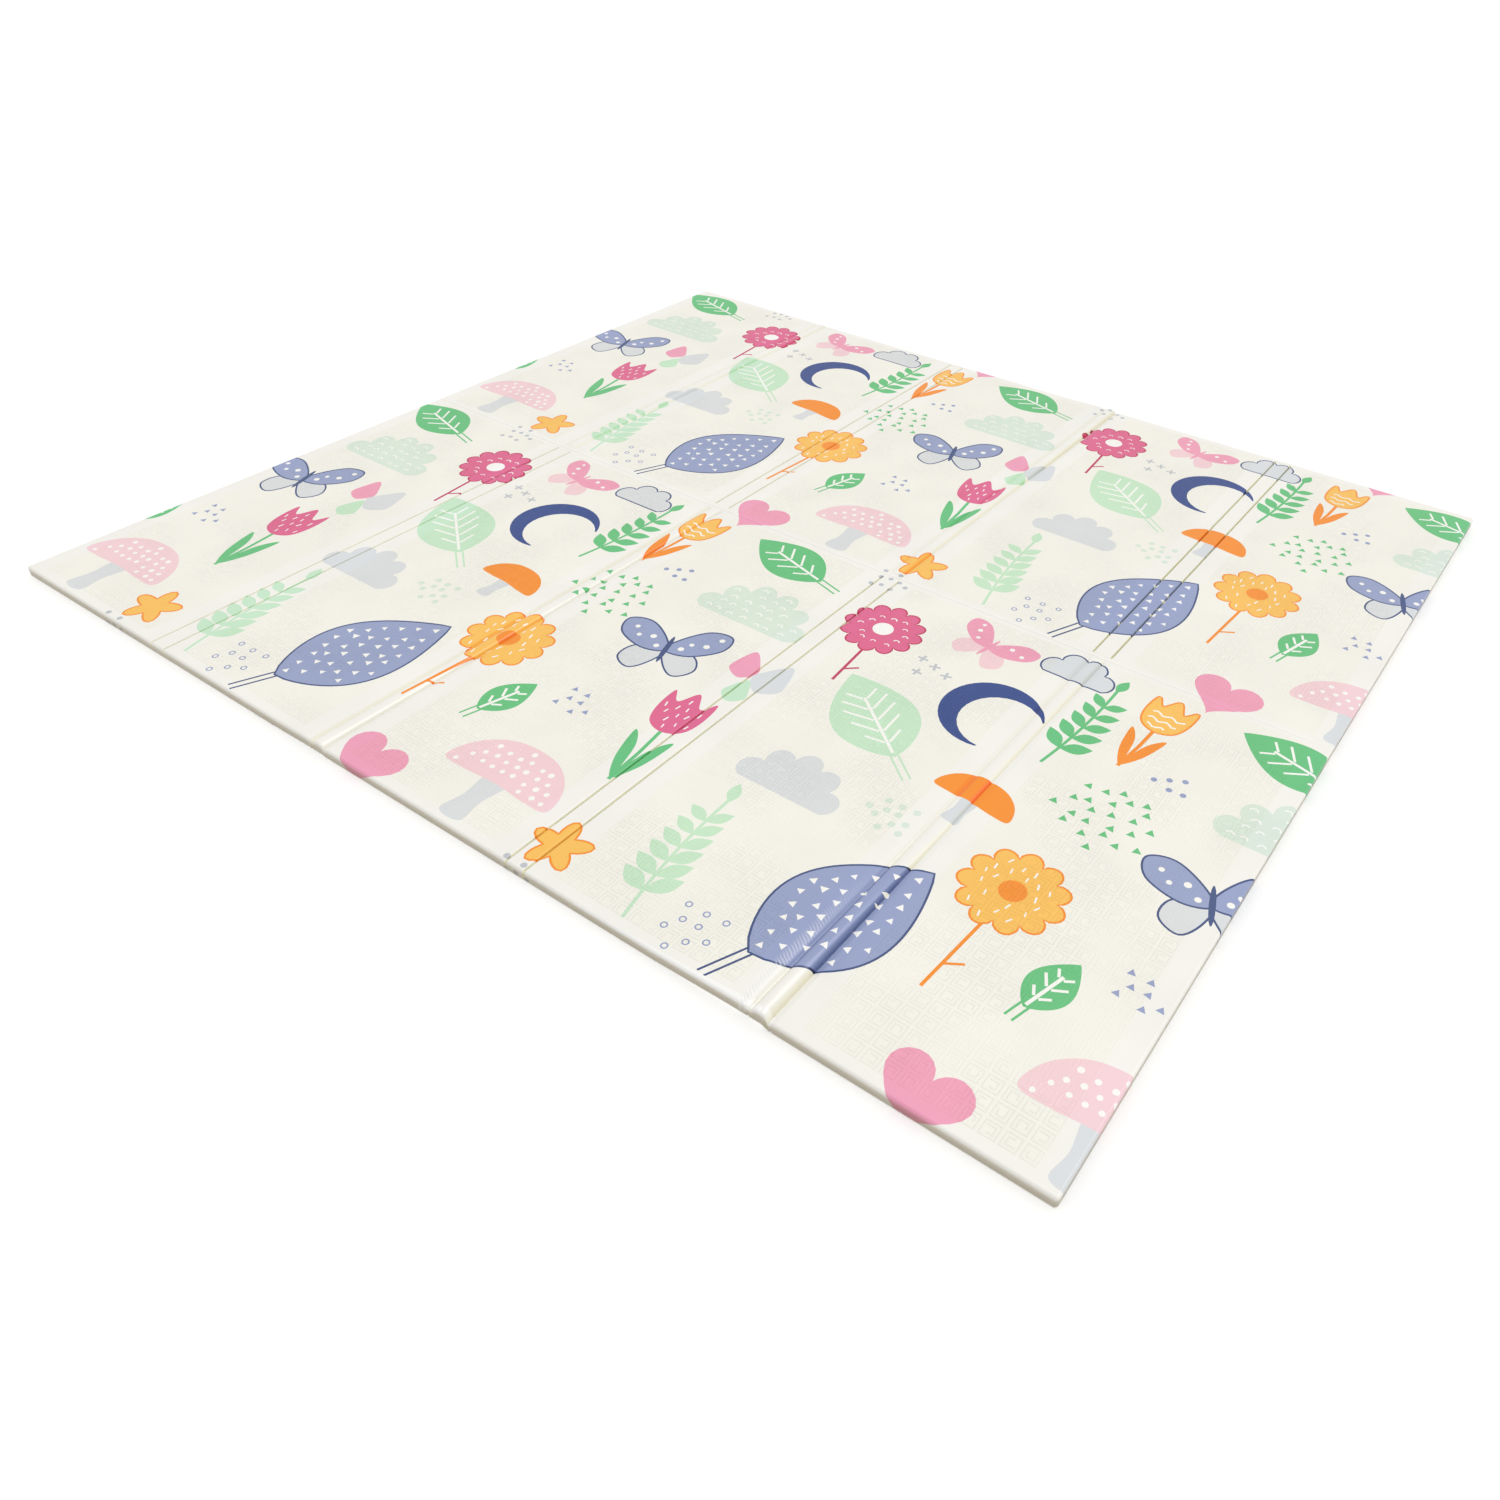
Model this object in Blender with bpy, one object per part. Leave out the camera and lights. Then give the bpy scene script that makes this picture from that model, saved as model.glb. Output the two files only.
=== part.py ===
"""A foldable foam play mat, laid out flat.

The mat is one sheet of foam in a printed film skin. Four double cuts divide it
into five panels, and a pressed crease across its middle divides each panel in
two. In one half a hinge is cut from above, which leaves a flat strip between two
thin grooves. In the other half the same hinge is cut from below, and there the
film runs on over a soft rounded bead.

Metres. X runs across the five panels, Y from the front edge to the back edge,
and Z up. The origin is the middle of the underside.
"""

import math
from collections import namedtuple

import bmesh
import bpy

# Driving sizes of the whole sheet
MAT_WIDTH = 2.000
MAT_LENGTH = 1.800
FOAM_THICKNESS = 0.018
PANEL_COUNT = 5
STRIP_WIDTH = 0.033

# Outline and rim
CORNER_RADIUS = 0.005
TOP_EDGE_RADIUS = 0.004
BOTTOM_EDGE_RADIUS = 0.0015

# Hinge cuts: each is a V mouth over a slit that is pressed nearly shut
CUT_WIDTH = 0.004
MOUTH_DEPTH = 0.0035
SLIT_WIDTH = 0.0008
TOP_CUT_DEPTH = 0.014
BOTTOM_CUT_DEPTH = 0.011
CUT_END_FROM_CREASE = 0.012
CUT_END_SLOPE = 0.004

# Soft bead over a hinge that is cut from below, narrower than the strip between
# the cuts. Its left side is slack and its right side full, and each foot has a
# sharper line pressed into it
BEAD_HALF_WIDTH = 0.0125
BEAD_LEFT_RUN = 0.018
BEAD_RIGHT_RUN = 0.010
LEFT_FULLNESS = 2.0
RIGHT_FULLNESS = 3.5
FOOT_HALF_WIDTH = 0.0025
LEFT_FOOT_SHARE = 0.6
BEAD_FADE = 0.150

# Pressed crease across the middle of the sheet
CREASE_HEIGHT = 0.0008
CREASE_DIP = 0.0003
CREASE_HALF_WIDTH = 0.005
CREASE_CUT_DEPTH = 0.011

# Lines of points that the sheet's shape needs: insets from the outline, shares
# of half a bead's width across it, shares of a lift's reach, and the widest spacing
# of rows elsewhere
RIM_INSETS = (BOTTOM_EDGE_RADIUS, TOP_EDGE_RADIUS, CORNER_RADIUS)
BEAD_COLUMNS = (-0.55, -0.28, 0.0, 0.25, 0.45, 0.63)
FADE_ROWS = (0.0, 0.33, 0.67, 1.0)
LIFT_LINES = (0.15, 0.35, 0.6, 0.8, 1.0)
LARGEST_ROW_STEP = 0.230

NEAR = "near"
FAR = "far"

# One row for each half hinge that is cut from below: the hinge's number from the
# left, its half, the crown's height over the panels, the dips beside it, the depth
# of the line in its foot, how far in from the outer edge it is at full strength,
# and its share of strength from there to the crease
Bead = namedtuple("Bead", "hinge half crown left_dip right_dip foot strong_reach inner_share")
BEADS = (
    Bead(hinge=1, half=FAR, crown=0.0010, left_dip=0.0014, right_dip=0.0010,
         foot=0.0008, strong_reach=0.40, inner_share=0.8),
    Bead(hinge=2, half=NEAR, crown=0.0026, left_dip=0.0016, right_dip=0.0022,
         foot=0.0012, strong_reach=0.30, inner_share=0.9),
    Bead(hinge=3, half=FAR, crown=0.0024, left_dip=0.0016, right_dip=0.0024,
         foot=0.0014, strong_reach=0.30, inner_share=0.5),
    Bead(hinge=4, half=NEAR, crown=0.0032, left_dip=0.0020, right_dip=0.0026,
         foot=0.0016, strong_reach=0.24, inner_share=0.45),
)

# One row for each place where the sheet stands off the floor beside a bead: the
# hinge, the half whose outer end lifts, the lift, and how far it reaches left of
# the hinge and in from the edge
Lift = namedtuple("Lift", "hinge half height reach_left reach_in")
LIFTS = (
    Lift(hinge=2, half=NEAR, height=0.0016, reach_left=0.100, reach_in=0.200),
    Lift(hinge=3, half=FAR, height=0.0024, reach_left=0.120, reach_in=0.240),
    Lift(hinge=4, half=NEAR, height=0.0050, reach_left=0.170, reach_in=0.330),
)

HALF_WIDTH = MAT_WIDTH / 2
HALF_LENGTH = MAT_LENGTH / 2
HALF_STRIP = STRIP_WIDTH / 2
HINGE_COUNT = PANEL_COUNT - 1
PANEL_WIDTH = (MAT_WIDTH - HINGE_COUNT * STRIP_WIDTH) / PANEL_COUNT

FOAM_COLOUR = (0.86, 0.84, 0.77, 1.0)
FOAM_ROUGHNESS = 0.55
SMOOTH_ANGLE = math.radians(35)


def clear_scene():
    """Take away whatever the scene holds."""
    for item in list(bpy.data.objects):
        bpy.data.objects.remove(item, do_unlink=True)


def hinge_middle(number):
    """X of the middle of a hinge, counted from the left."""
    first = -HALF_WIDTH + PANEL_WIDTH + HALF_STRIP
    return first + (number - 1) * (PANEL_WIDTH + STRIP_WIDTH)


def smooth_step(value):
    """Ease from 0 to 1 between the values 0 and 1."""
    value = min(max(value, 0.0), 1.0)
    return value * value * (3 - 2 * value)


def dip_run_out(distance, dip, run):
    """Height of a dip that starts at a ridge's foot and runs out beside it."""
    return -dip * (1 - smooth_step(distance / run))


def foot_line(distance):
    """Share of depth of the sharper line in a bead's foot."""
    return max(0.0, 1 - abs(distance) / FOOT_HALF_WIDTH) ** 2


def bead_height(bead, offset):
    """Height of a bead at an offset from its hinge's middle."""
    if offset < 0:
        dip, run, fullness, foot = bead.left_dip, BEAD_LEFT_RUN, LEFT_FULLNESS, LEFT_FOOT_SHARE
    else:
        dip, run, fullness, foot = bead.right_dip, BEAD_RIGHT_RUN, RIGHT_FULLNESS, 1.0
    distance = abs(offset)
    line = bead.foot * foot * foot_line(distance - BEAD_HALF_WIDTH)
    if distance > BEAD_HALF_WIDTH:
        return dip_run_out(distance - BEAD_HALF_WIDTH, dip, run) - line
    return (bead.crown + dip) * (1 - (distance / BEAD_HALF_WIDTH) ** fullness) - dip - line


def bead_strength(bead, y):
    """Share of a bead's full height at a row."""
    inward = (HALF_LENGTH - abs(y) - bead.strong_reach) / BEAD_FADE
    return 1 + (bead.inner_share - 1) * smooth_step(inward)


def crease_height(y):
    """Height of the soft ridge along the crease."""
    distance = abs(y)
    if distance > CREASE_HALF_WIDTH:
        return dip_run_out(distance - CREASE_HALF_WIDTH, CREASE_DIP, CREASE_HALF_WIDTH)
    arch = math.cos(distance / CREASE_HALF_WIDTH * math.pi / 2) ** 2
    return (CREASE_HEIGHT + CREASE_DIP) * arch - CREASE_DIP


def bead_of(hinge, half):
    """The bead of a half hinge, or None where that half is cut from above."""
    for bead in BEADS:
        if bead.hinge == hinge and bead.half == half:
            return bead
    return None


def half_of(y):
    """Which half of the sheet a row lies in."""
    return NEAR if y < 0 else FAR


def away_from_crease(y):
    """0 at the crease and 1 where a hinge has its full depth."""
    return min(max((abs(y) - CUT_END_FROM_CREASE + CUT_END_SLOPE) / CUT_END_SLOPE, 0), 1)


def cut_profile(distance, depth):
    """Depth of a cut at a distance from its middle line."""
    distance = abs(distance)
    if distance >= CUT_WIDTH / 2:
        return 0.0
    if distance >= SLIT_WIDTH / 2:
        return MOUTH_DEPTH * (CUT_WIDTH / 2 - distance) / (CUT_WIDTH / 2 - SLIT_WIDTH / 2)
    return MOUTH_DEPTH + (depth - MOUTH_DEPTH) * (1 - distance / (SLIT_WIDTH / 2))


def lift_at(x, y):
    """How far the whole sheet stands off the floor."""
    total = 0.0
    for lift in LIFTS:
        if half_of(y) != lift.half:
            continue
        offset = x - hinge_middle(lift.hinge)
        if offset <= 0:
            across = smooth_step(1 + (offset + HALF_STRIP) / lift.reach_left)
        else:
            across = smooth_step(1 - offset / HALF_STRIP)
        inward = smooth_step(1 - (HALF_LENGTH - abs(y)) / lift.reach_in)
        total += lift.height * across * inward
    return total


def top_relief(x, y):
    """Height of the upper face over the plain sheet, before the rim."""
    height = 0.0
    half = half_of(y)
    for number in range(1, HINGE_COUNT + 1):
        offset = x - hinge_middle(number)
        bead = bead_of(number, half)
        if bead:
            height += bead_height(bead, offset) * bead_strength(bead, y) * away_from_crease(y)
        else:
            depth = cut_profile(abs(offset) - HALF_STRIP, TOP_CUT_DEPTH)
            height -= depth * away_from_crease(y)
    return height + crease_height(y)


def bottom_relief(x, y):
    """Depth of the cuts that are made from below."""
    depth = cut_profile(y, CREASE_CUT_DEPTH)
    half = half_of(y)
    for number in range(1, HINGE_COUNT + 1):
        if bead_of(number, half):
            distance = abs(x - hinge_middle(number)) - HALF_STRIP
            hinge_cut = cut_profile(distance, BOTTOM_CUT_DEPTH) * away_from_crease(y)
            depth = max(depth, hinge_cut)
    return depth


def rim_drop(inset, radius):
    """Drop of a rounded edge at an inset from the outline."""
    if inset >= radius:
        return 0.0
    return radius - math.sqrt(max(radius ** 2 - (radius - inset) ** 2, 0.0))


def round_corner(x, y):
    """Draw the corners of the outline in to arcs, and give the inset from it."""
    inset_x = HALF_WIDTH - abs(x)
    inset_y = HALF_LENGTH - abs(y)
    if inset_x >= CORNER_RADIUS or inset_y >= CORNER_RADIUS:
        return x, y, min(inset_x, inset_y)
    arm_x = CORNER_RADIUS - inset_x
    arm_y = CORNER_RADIUS - inset_y
    reach = max(arm_x, arm_y)
    shrink = reach / math.hypot(arm_x, arm_y)
    new_x = math.copysign(HALF_WIDTH - CORNER_RADIUS + arm_x * shrink, x)
    new_y = math.copysign(HALF_LENGTH - CORNER_RADIUS + arm_y * shrink, y)
    return new_x, new_y, CORNER_RADIUS - reach


def column_places():
    """X of every line of points that runs from the front edge to the back."""
    places = set()
    for inset in RIM_INSETS:
        places.update((-HALF_WIDTH + inset, HALF_WIDTH - inset))
    cut_steps = (0.0, SLIT_WIDTH / 2, CUT_WIDTH / 2)
    foot_steps = (0.0, FOOT_HALF_WIDTH / 2, FOOT_HALF_WIDTH)
    for number in range(1, HINGE_COUNT + 1):
        middle = hinge_middle(number)
        places.update(middle + share * BEAD_HALF_WIDTH for share in BEAD_COLUMNS)
        for reach, steps in ((HALF_STRIP, cut_steps), (BEAD_HALF_WIDTH, foot_steps)):
            for line in (middle - reach, middle + reach):
                places.update(line - step for step in steps)
                places.update(line + step for step in steps)
        for share in (0.5, 1.0):
            places.add(middle - BEAD_HALF_WIDTH - share * BEAD_LEFT_RUN)
            places.add(middle + BEAD_HALF_WIDTH + share * BEAD_RIGHT_RUN)
        places.add(middle - HALF_STRIP - PANEL_WIDTH / 2)
    for lift in LIFTS:
        shoulder = hinge_middle(lift.hinge) - HALF_STRIP
        places.update(shoulder - share * lift.reach_left for share in LIFT_LINES)
    places.add(HALF_WIDTH - PANEL_WIDTH / 2)
    return sorted(places)


def row_places():
    """Y of every line of points that runs from the left edge to the right."""
    crease = (SLIT_WIDTH / 2, CUT_WIDTH / 2, CREASE_HALF_WIDTH * 0.7, CREASE_HALF_WIDTH,
              CREASE_HALF_WIDTH * 1.4, CREASE_HALF_WIDTH * 2,
              CUT_END_FROM_CREASE - CUT_END_SLOPE, CUT_END_FROM_CREASE)
    places = {0.0}
    for side in (-1, 1):
        places.update(side * (HALF_LENGTH - inset) for inset in RIM_INSETS)
        places.update(side * inset for inset in crease)
        reach = max(lift.reach_in for lift in LIFTS if lift.half == half_of(side))
        places.update(side * (HALF_LENGTH - share * reach) for share in LIFT_LINES)
        for bead in BEADS:
            if bead.half == half_of(side):
                faded = (bead.strong_reach + share * BEAD_FADE for share in FADE_ROWS)
                places.update(side * (HALF_LENGTH - inset) for inset in faded)
        span = HALF_LENGTH - reach - CUT_END_FROM_CREASE
        steps = math.ceil(span / LARGEST_ROW_STEP)
        for step in range(1, steps):
            places.add(side * (CUT_END_FROM_CREASE + span * step / steps))
    return sorted(places)


def sheet_block():
    """A plain block of the sheet's size, cut into the lines of points."""
    block = bmesh.new()
    bmesh.ops.create_cube(block, size=1.0)
    bmesh.ops.scale(block, vec=(MAT_WIDTH, MAT_LENGTH, FOAM_THICKNESS), verts=block.verts)
    bmesh.ops.translate(block, vec=(0, 0, FOAM_THICKNESS / 2), verts=block.verts)
    lines = [((x, 0, 0), (1, 0, 0)) for x in column_places()]
    lines += [((0, y, 0), (0, 1, 0)) for y in row_places()]
    for point, normal in lines:
        everything = block.verts[:] + block.edges[:] + block.faces[:]
        bmesh.ops.bisect_plane(block, geom=everything, plane_co=point, plane_no=normal,
                               dist=0.00001)
    return block


def shape_sheet(block):
    """Give the block its rounded rim, hinges, crease and lift."""
    for vert in block.verts:
        x, y, z = vert.co
        upper = z > FOAM_THICKNESS / 2
        new_x, new_y, inset = round_corner(x, y)
        base = lift_at(x, y)
        if upper:
            rise = FOAM_THICKNESS + top_relief(x, y)
            rim = FOAM_THICKNESS - rim_drop(inset, TOP_EDGE_RADIUS)
            height = min(rise, rim) if rise < FOAM_THICKNESS else rim + rise - FOAM_THICKNESS
        else:
            height = max(bottom_relief(x, y), rim_drop(inset, BOTTOM_EDGE_RADIUS))
        vert.co = (new_x, new_y, base + height)


def foam_material():
    """Matt ivory film over foam."""
    material = bpy.data.materials.new("printed_film")
    material.use_nodes = True
    shader = material.node_tree.nodes["Principled BSDF"]
    shader.inputs["Base Color"].default_value = FOAM_COLOUR
    shader.inputs["Roughness"].default_value = FOAM_ROUGHNESS
    shader.inputs["Metallic"].default_value = 0.0
    return material


def build_mat(collection):
    """The whole mat as one solid."""
    block = sheet_block()
    shape_sheet(block)
    bmesh.ops.recalc_face_normals(block, faces=block.faces)
    mesh = bpy.data.meshes.new("mat_sheet")
    block.to_mesh(mesh)
    block.free()
    mesh.shade_smooth()
    mesh.set_sharp_from_angle(angle=SMOOTH_ANGLE)
    mesh.materials.append(foam_material())
    mat = bpy.data.objects.new("mat_sheet", mesh)
    collection.objects.link(mat)
    return mat


def main():
    """Build the play mat."""
    clear_scene()
    collection = bpy.data.collections.new("play_mat")
    bpy.context.scene.collection.children.link(collection)
    build_mat(collection)


main()
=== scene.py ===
"""Looks of a foldable foam play mat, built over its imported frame.

The mat is one sheet of foam in a printed film skin. The skin is cut out flat, with
the outlines of its print as lines of its mesh, and is then wrapped over the sheet:
across the upper face with its hinges, beads and crease, over the rounded rim and
down the side. A plain piece of the same film closes the underside.

Metres throughout. X runs across the five panels, Y from the front edge to the back
edge, and Z up. The origin is the middle of the underside.
"""

from __future__ import annotations

import logging
import math
from collections.abc import Callable
from dataclasses import dataclass, field
from enum import Enum

import bmesh
import bpy
import numpy as np
from mathutils import Matrix, Vector
from mathutils.geometry import delaunay_2d_cdt

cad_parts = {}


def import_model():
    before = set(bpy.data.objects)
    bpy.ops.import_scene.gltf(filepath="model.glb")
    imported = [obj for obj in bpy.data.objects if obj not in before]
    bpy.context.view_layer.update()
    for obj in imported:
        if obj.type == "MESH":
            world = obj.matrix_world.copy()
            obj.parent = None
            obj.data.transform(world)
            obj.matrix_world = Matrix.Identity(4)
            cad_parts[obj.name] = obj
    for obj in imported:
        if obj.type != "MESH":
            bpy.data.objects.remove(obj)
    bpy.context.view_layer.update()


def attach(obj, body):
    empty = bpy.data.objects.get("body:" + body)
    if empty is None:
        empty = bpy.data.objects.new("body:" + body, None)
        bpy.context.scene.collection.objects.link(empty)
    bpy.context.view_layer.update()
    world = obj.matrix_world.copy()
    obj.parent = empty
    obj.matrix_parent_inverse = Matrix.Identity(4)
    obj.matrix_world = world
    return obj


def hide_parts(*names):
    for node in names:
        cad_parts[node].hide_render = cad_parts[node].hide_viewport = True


LOG = logging.getLogger("play_mat")
MM = 0.001
BODY = "root"
SHEET_NODE = "mat_sheet"

INK_SHARE = 0.86
NO_LENGTH = 1e-9
NO_AREA = 1e-30
SAME_PLACE = 1e-6
GOLDEN_ANGLE = 2.39996
MARK_ROW_SHARE = 0.86
MARK_DRIFT = 0.16
MARK_LEAN = 25
MARK_SIZES = (0.85, 1.15)

Points = np.ndarray
Socket = bpy.types.NodeSocket
Pair = tuple[float, float]
Triple = tuple[float, float, float]
Series = tuple[float, ...]
Colour = tuple[float, float, float, float]


class Half(Enum):
    """The two halves of the sheet, on either side of the crease."""

    NEAR = -1
    FAR = 1


class Ink(Enum):
    """Inks of the print and the bare film, as screen red, green and blue."""

    IVORY = (248, 246, 238)
    WHITE = (253, 252, 248)
    MINT = (203, 236, 205)
    SAGE = (222, 236, 222)
    GREEN = (104, 198, 130)
    NAVY = (48, 74, 142)
    SLATE = (154, 165, 203)
    SLATE_LINE = (66, 84, 132)
    PINK = (244, 163, 190)
    ROSE = (228, 104, 148)
    CRIMSON = (198, 62, 100)
    BLUSH = (248, 212, 218)
    ORANGE = (252, 148, 36)
    AMBER = (255, 197, 92)
    GREY = (222, 225, 227)
    ASH = (196, 200, 206)

    def reflectance(self) -> Triple:
        """Linear share of light that the ink sends back, a little under its colour."""
        return tuple(INK_SHARE * screen_to_linear(part / 255) for part in self.value)


def screen_to_linear(value: float) -> float:
    """Turn one screen colour part into linear light.

    Args:
        value: The part, from 0 to 1.

    Returns:
        The linear part, from 0 to 1.
    """
    if value <= 0.04045:
        return value / 12.92
    return ((value + 0.055) / 1.055) ** 2.4


def smooth_step(value: Points) -> Points:
    """Ease from 0 to 1 between the values 0 and 1.

    Args:
        value: Any numbers.

    Returns:
        The eased numbers, from 0 to 1.
    """
    value = np.clip(value, 0.0, 1.0)
    return value * value * (3 - 2 * value)


def dip_run_out(distance: Points, dip: float, run: float) -> Points:
    """Height of a dip that starts at a ridge's foot and runs out beside it."""
    return -dip * (1 - smooth_step(distance / run))


def pressed_line(distance: Points, half_width: float) -> Points:
    """Share of a pressed line's depth: sharp in its middle, soft at its sides."""
    return np.clip(1 - np.abs(distance) / half_width, 0, 1) ** 2


@dataclass(frozen=True)
class Bead:
    """A half hinge that is cut from below, where the film runs over a soft bead."""

    hinge: int
    half: Half
    crown: float
    left_dip: float
    right_dip: float
    foot: float
    strong_reach: float
    inner_share: float


@dataclass(frozen=True)
class Lift:
    """A place where the sheet stands off the floor beside a bead."""

    hinge: int
    half: Half
    height: float
    reach_left: float
    reach_in: float


@dataclass(frozen=True)
class Fold:
    """A soft trough or ridge in the film along a straight line beside a hinge.

    The ends are given by their offsets from the hinge's middle and their distances
    from the sheet's outer edge. A height under 0 makes a trough.
    """

    hinge: int
    half: Half
    start_offset: float
    start_in: float
    end_offset: float
    end_in: float
    height: float
    half_width: float


@dataclass(frozen=True)
class SheetForm:
    """Sizes and shape of the whole sheet, with heights worked out at any place."""

    width: float = 2.000
    length: float = 1.800
    thickness: float = 0.018
    panel_count: int = 5
    strip: float = 0.033
    corner_radius: float = 0.005
    top_edge: float = 0.004
    bottom_edge: float = 0.0015
    cut_width: float = 0.004
    mouth_depth: float = 0.0035
    slit_width: float = 0.0008
    top_cut: float = 0.014
    bottom_cut: float = 0.011
    cut_end: float = 0.012
    cut_end_slope: float = 0.004
    lip_drop: float = 0.0005
    lip_run: float = 0.0025
    bead_half_width: float = 0.0125
    bead_left_run: float = 0.018
    bead_right_run: float = 0.010
    left_fullness: float = 2.0
    right_fullness: float = 3.5
    foot_half_width: float = 0.0025
    left_foot_share: float = 0.6
    bead_fade: float = 0.150
    crease_height: float = 0.0008
    crease_dip: float = 0.0003
    crease_half_width: float = 0.005
    crease_cut: float = 0.011
    fold_taper: float = 0.25
    beads: tuple[Bead, ...] = (
        Bead(1, Half.FAR, 0.0010, 0.0014, 0.0010, 0.0008, 0.40, 0.8),
        Bead(2, Half.NEAR, 0.0026, 0.0016, 0.0022, 0.0012, 0.30, 0.9),
        Bead(3, Half.FAR, 0.0024, 0.0016, 0.0024, 0.0014, 0.30, 0.5),
        Bead(4, Half.NEAR, 0.0032, 0.0020, 0.0026, 0.0016, 0.24, 0.45),
    )
    lifts: tuple[Lift, ...] = (
        Lift(2, Half.NEAR, 0.0016, 0.100, 0.200),
        Lift(3, Half.FAR, 0.0024, 0.120, 0.240),
        Lift(4, Half.NEAR, 0.0050, 0.170, 0.330),
    )
    folds: tuple[Fold, ...] = (
        Fold(4, Half.NEAR, -0.021, 0.004, -0.019, 0.170, -0.0006, 0.0035),
        Fold(4, Half.NEAR, -0.040, 0.010, -0.036, 0.110, 0.0004, 0.004),
        Fold(4, Half.NEAR, 0.002, 0.012, 0.003, 0.120, -0.0004, 0.003),
        Fold(4, Half.NEAR, 0.026, 0.010, 0.025, 0.210, -0.0003, 0.004),
        Fold(4, Half.NEAR, -0.060, 0.006, -0.050, 0.060, -0.0005, 0.006),
        Fold(2, Half.NEAR, -0.024, 0.560, -0.023, 0.800, -0.0004, 0.004),
        Fold(2, Half.NEAR, -0.023, 0.010, -0.026, 0.090, -0.0005, 0.004),
        Fold(3, Half.FAR, -0.024, 0.006, -0.022, 0.140, -0.0006, 0.004),
        Fold(3, Half.FAR, -0.042, 0.010, -0.038, 0.080, 0.0004, 0.004),
        Fold(1, Half.FAR, -0.026, 0.020, -0.028, 0.120, -0.0003, 0.004),
        Fold(4, Half.NEAR, -0.0310, -0.005, -0.0270, 0.014, -0.0006, 0.0024),
        Fold(4, Half.NEAR, -0.0175, -0.006, -0.0165, 0.017, -0.0009, 0.0019),
        Fold(4, Half.NEAR, -0.0060, -0.005, -0.0090, 0.012, 0.0006, 0.0020),
        Fold(4, Half.NEAR, 0.0012, -0.005, -0.0012, 0.011, -0.0009, 0.0018),
        Fold(4, Half.NEAR, 0.0078, -0.005, 0.0060, 0.013, 0.0005, 0.0020),
    )

    @property
    def half_width(self) -> float:
        """Half of the sheet's width."""
        return self.width / 2

    @property
    def half_length(self) -> float:
        """Half of the sheet's length."""
        return self.length / 2

    @property
    def half_strip(self) -> float:
        """Half of a hinge strip's width."""
        return self.strip / 2

    @property
    def panel_width(self) -> float:
        """Width of one panel between its hinge strips."""
        return (self.width - (self.panel_count - 1) * self.strip) / self.panel_count

    @property
    def panel_pitch(self) -> float:
        """Distance from one panel's side to the same side of the next."""
        return self.panel_width + self.strip

    @property
    def hinges(self) -> range:
        """Numbers of the hinges, counted from the left."""
        return range(1, self.panel_count)

    @property
    def arc_run(self) -> float:
        """Length of film over the rounded upper edge."""
        return self.top_edge * math.pi / 2

    @property
    def side_run(self) -> float:
        """Length of film down the flat part of the side."""
        return self.thickness - self.top_edge - self.bottom_edge

    @property
    def rim_run(self) -> float:
        """Length of film from the flat upper face to the flat underside."""
        return self.arc_run + self.side_run + self.bottom_edge * math.pi / 2

    def hinge_middle(self, number: int) -> float:
        """X of the middle of a hinge, counted from the left."""
        first = -self.half_width + self.panel_width + self.half_strip
        return first + (number - 1) * self.panel_pitch

    def bead_of(self, hinge: int, half: Half) -> Bead | None:
        """The bead of a half hinge, or None where that half is cut from above."""
        for bead in self.beads:
            if bead.hinge == hinge and bead.half is half:
                return bead
        return None

    def in_half(self, y: Points, half: Half) -> Points:
        """1 where a place lies in the half, and 0 elsewhere."""
        return np.where(y < 0, half is Half.NEAR, half is Half.FAR).astype(float)

    def off_crease(self, y: Points) -> Points:
        """0 at the crease and 1 where a hinge has its full depth."""
        return np.clip((np.abs(y) - self.cut_end + self.cut_end_slope) / self.cut_end_slope, 0, 1)

    def cut_profile(self, distance: Points, depth: float) -> Points:
        """Depth of a cut at a distance from its middle line: a V mouth over a slit."""
        reach = [0.0, self.slit_width / 2, self.cut_width / 2]
        return np.interp(np.abs(distance), reach, [depth, self.mouth_depth, 0.0])

    def bead_strength(self, bead: Bead, y: Points) -> Points:
        """Share of a bead's full height at places along the sheet."""
        inward = (self.half_length - np.abs(y) - bead.strong_reach) / self.bead_fade
        return 1 + (bead.inner_share - 1) * smooth_step(inward)

    def bead_height(self, bead: Bead, x: Points, y: Points) -> Points:
        """Height of one bead, with its sharper foot lines.

        Args:
            bead: The bead.
            x: Places across the sheet.
            y: Places along the sheet.

        Returns:
            Heights over the plain face.
        """
        offset = x - self.hinge_middle(bead.hinge)
        distance = np.abs(offset)
        share = np.minimum(distance / self.bead_half_width, 1)
        past_foot = distance - self.bead_half_width
        line = bead.foot * pressed_line(past_foot, self.foot_half_width)
        height = np.zeros_like(offset)
        for side, dip, run, fullness, foot_share in (
            (offset < 0, bead.left_dip, self.bead_left_run, self.left_fullness, self.left_foot_share),
            (offset >= 0, bead.right_dip, self.bead_right_run, self.right_fullness, 1.0),
        ):
            crown = (bead.crown + dip) * (1 - share ** fullness) - dip
            own = np.where(past_foot > 0, dip_run_out(past_foot, dip, run), crown)
            height = np.where(side, own - foot_share * line, height)
        return height * self.bead_strength(bead, y) * self.off_crease(y) * self.in_half(y, bead.half)

    def crease_ridge(self, y: Points) -> Points:
        """Height of the soft ridge along the crease.

        Args:
            y: Places along the sheet.

        Returns:
            Heights over the plain face.
        """
        distance = np.abs(y)
        arch = np.cos(np.minimum(distance / self.crease_half_width, 1) * math.pi / 2) ** 2
        ridge = (self.crease_height + self.crease_dip) * arch - self.crease_dip
        beside = dip_run_out(distance - self.crease_half_width, self.crease_dip, self.crease_half_width)
        return np.where(distance > self.crease_half_width, beside, ridge)

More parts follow.
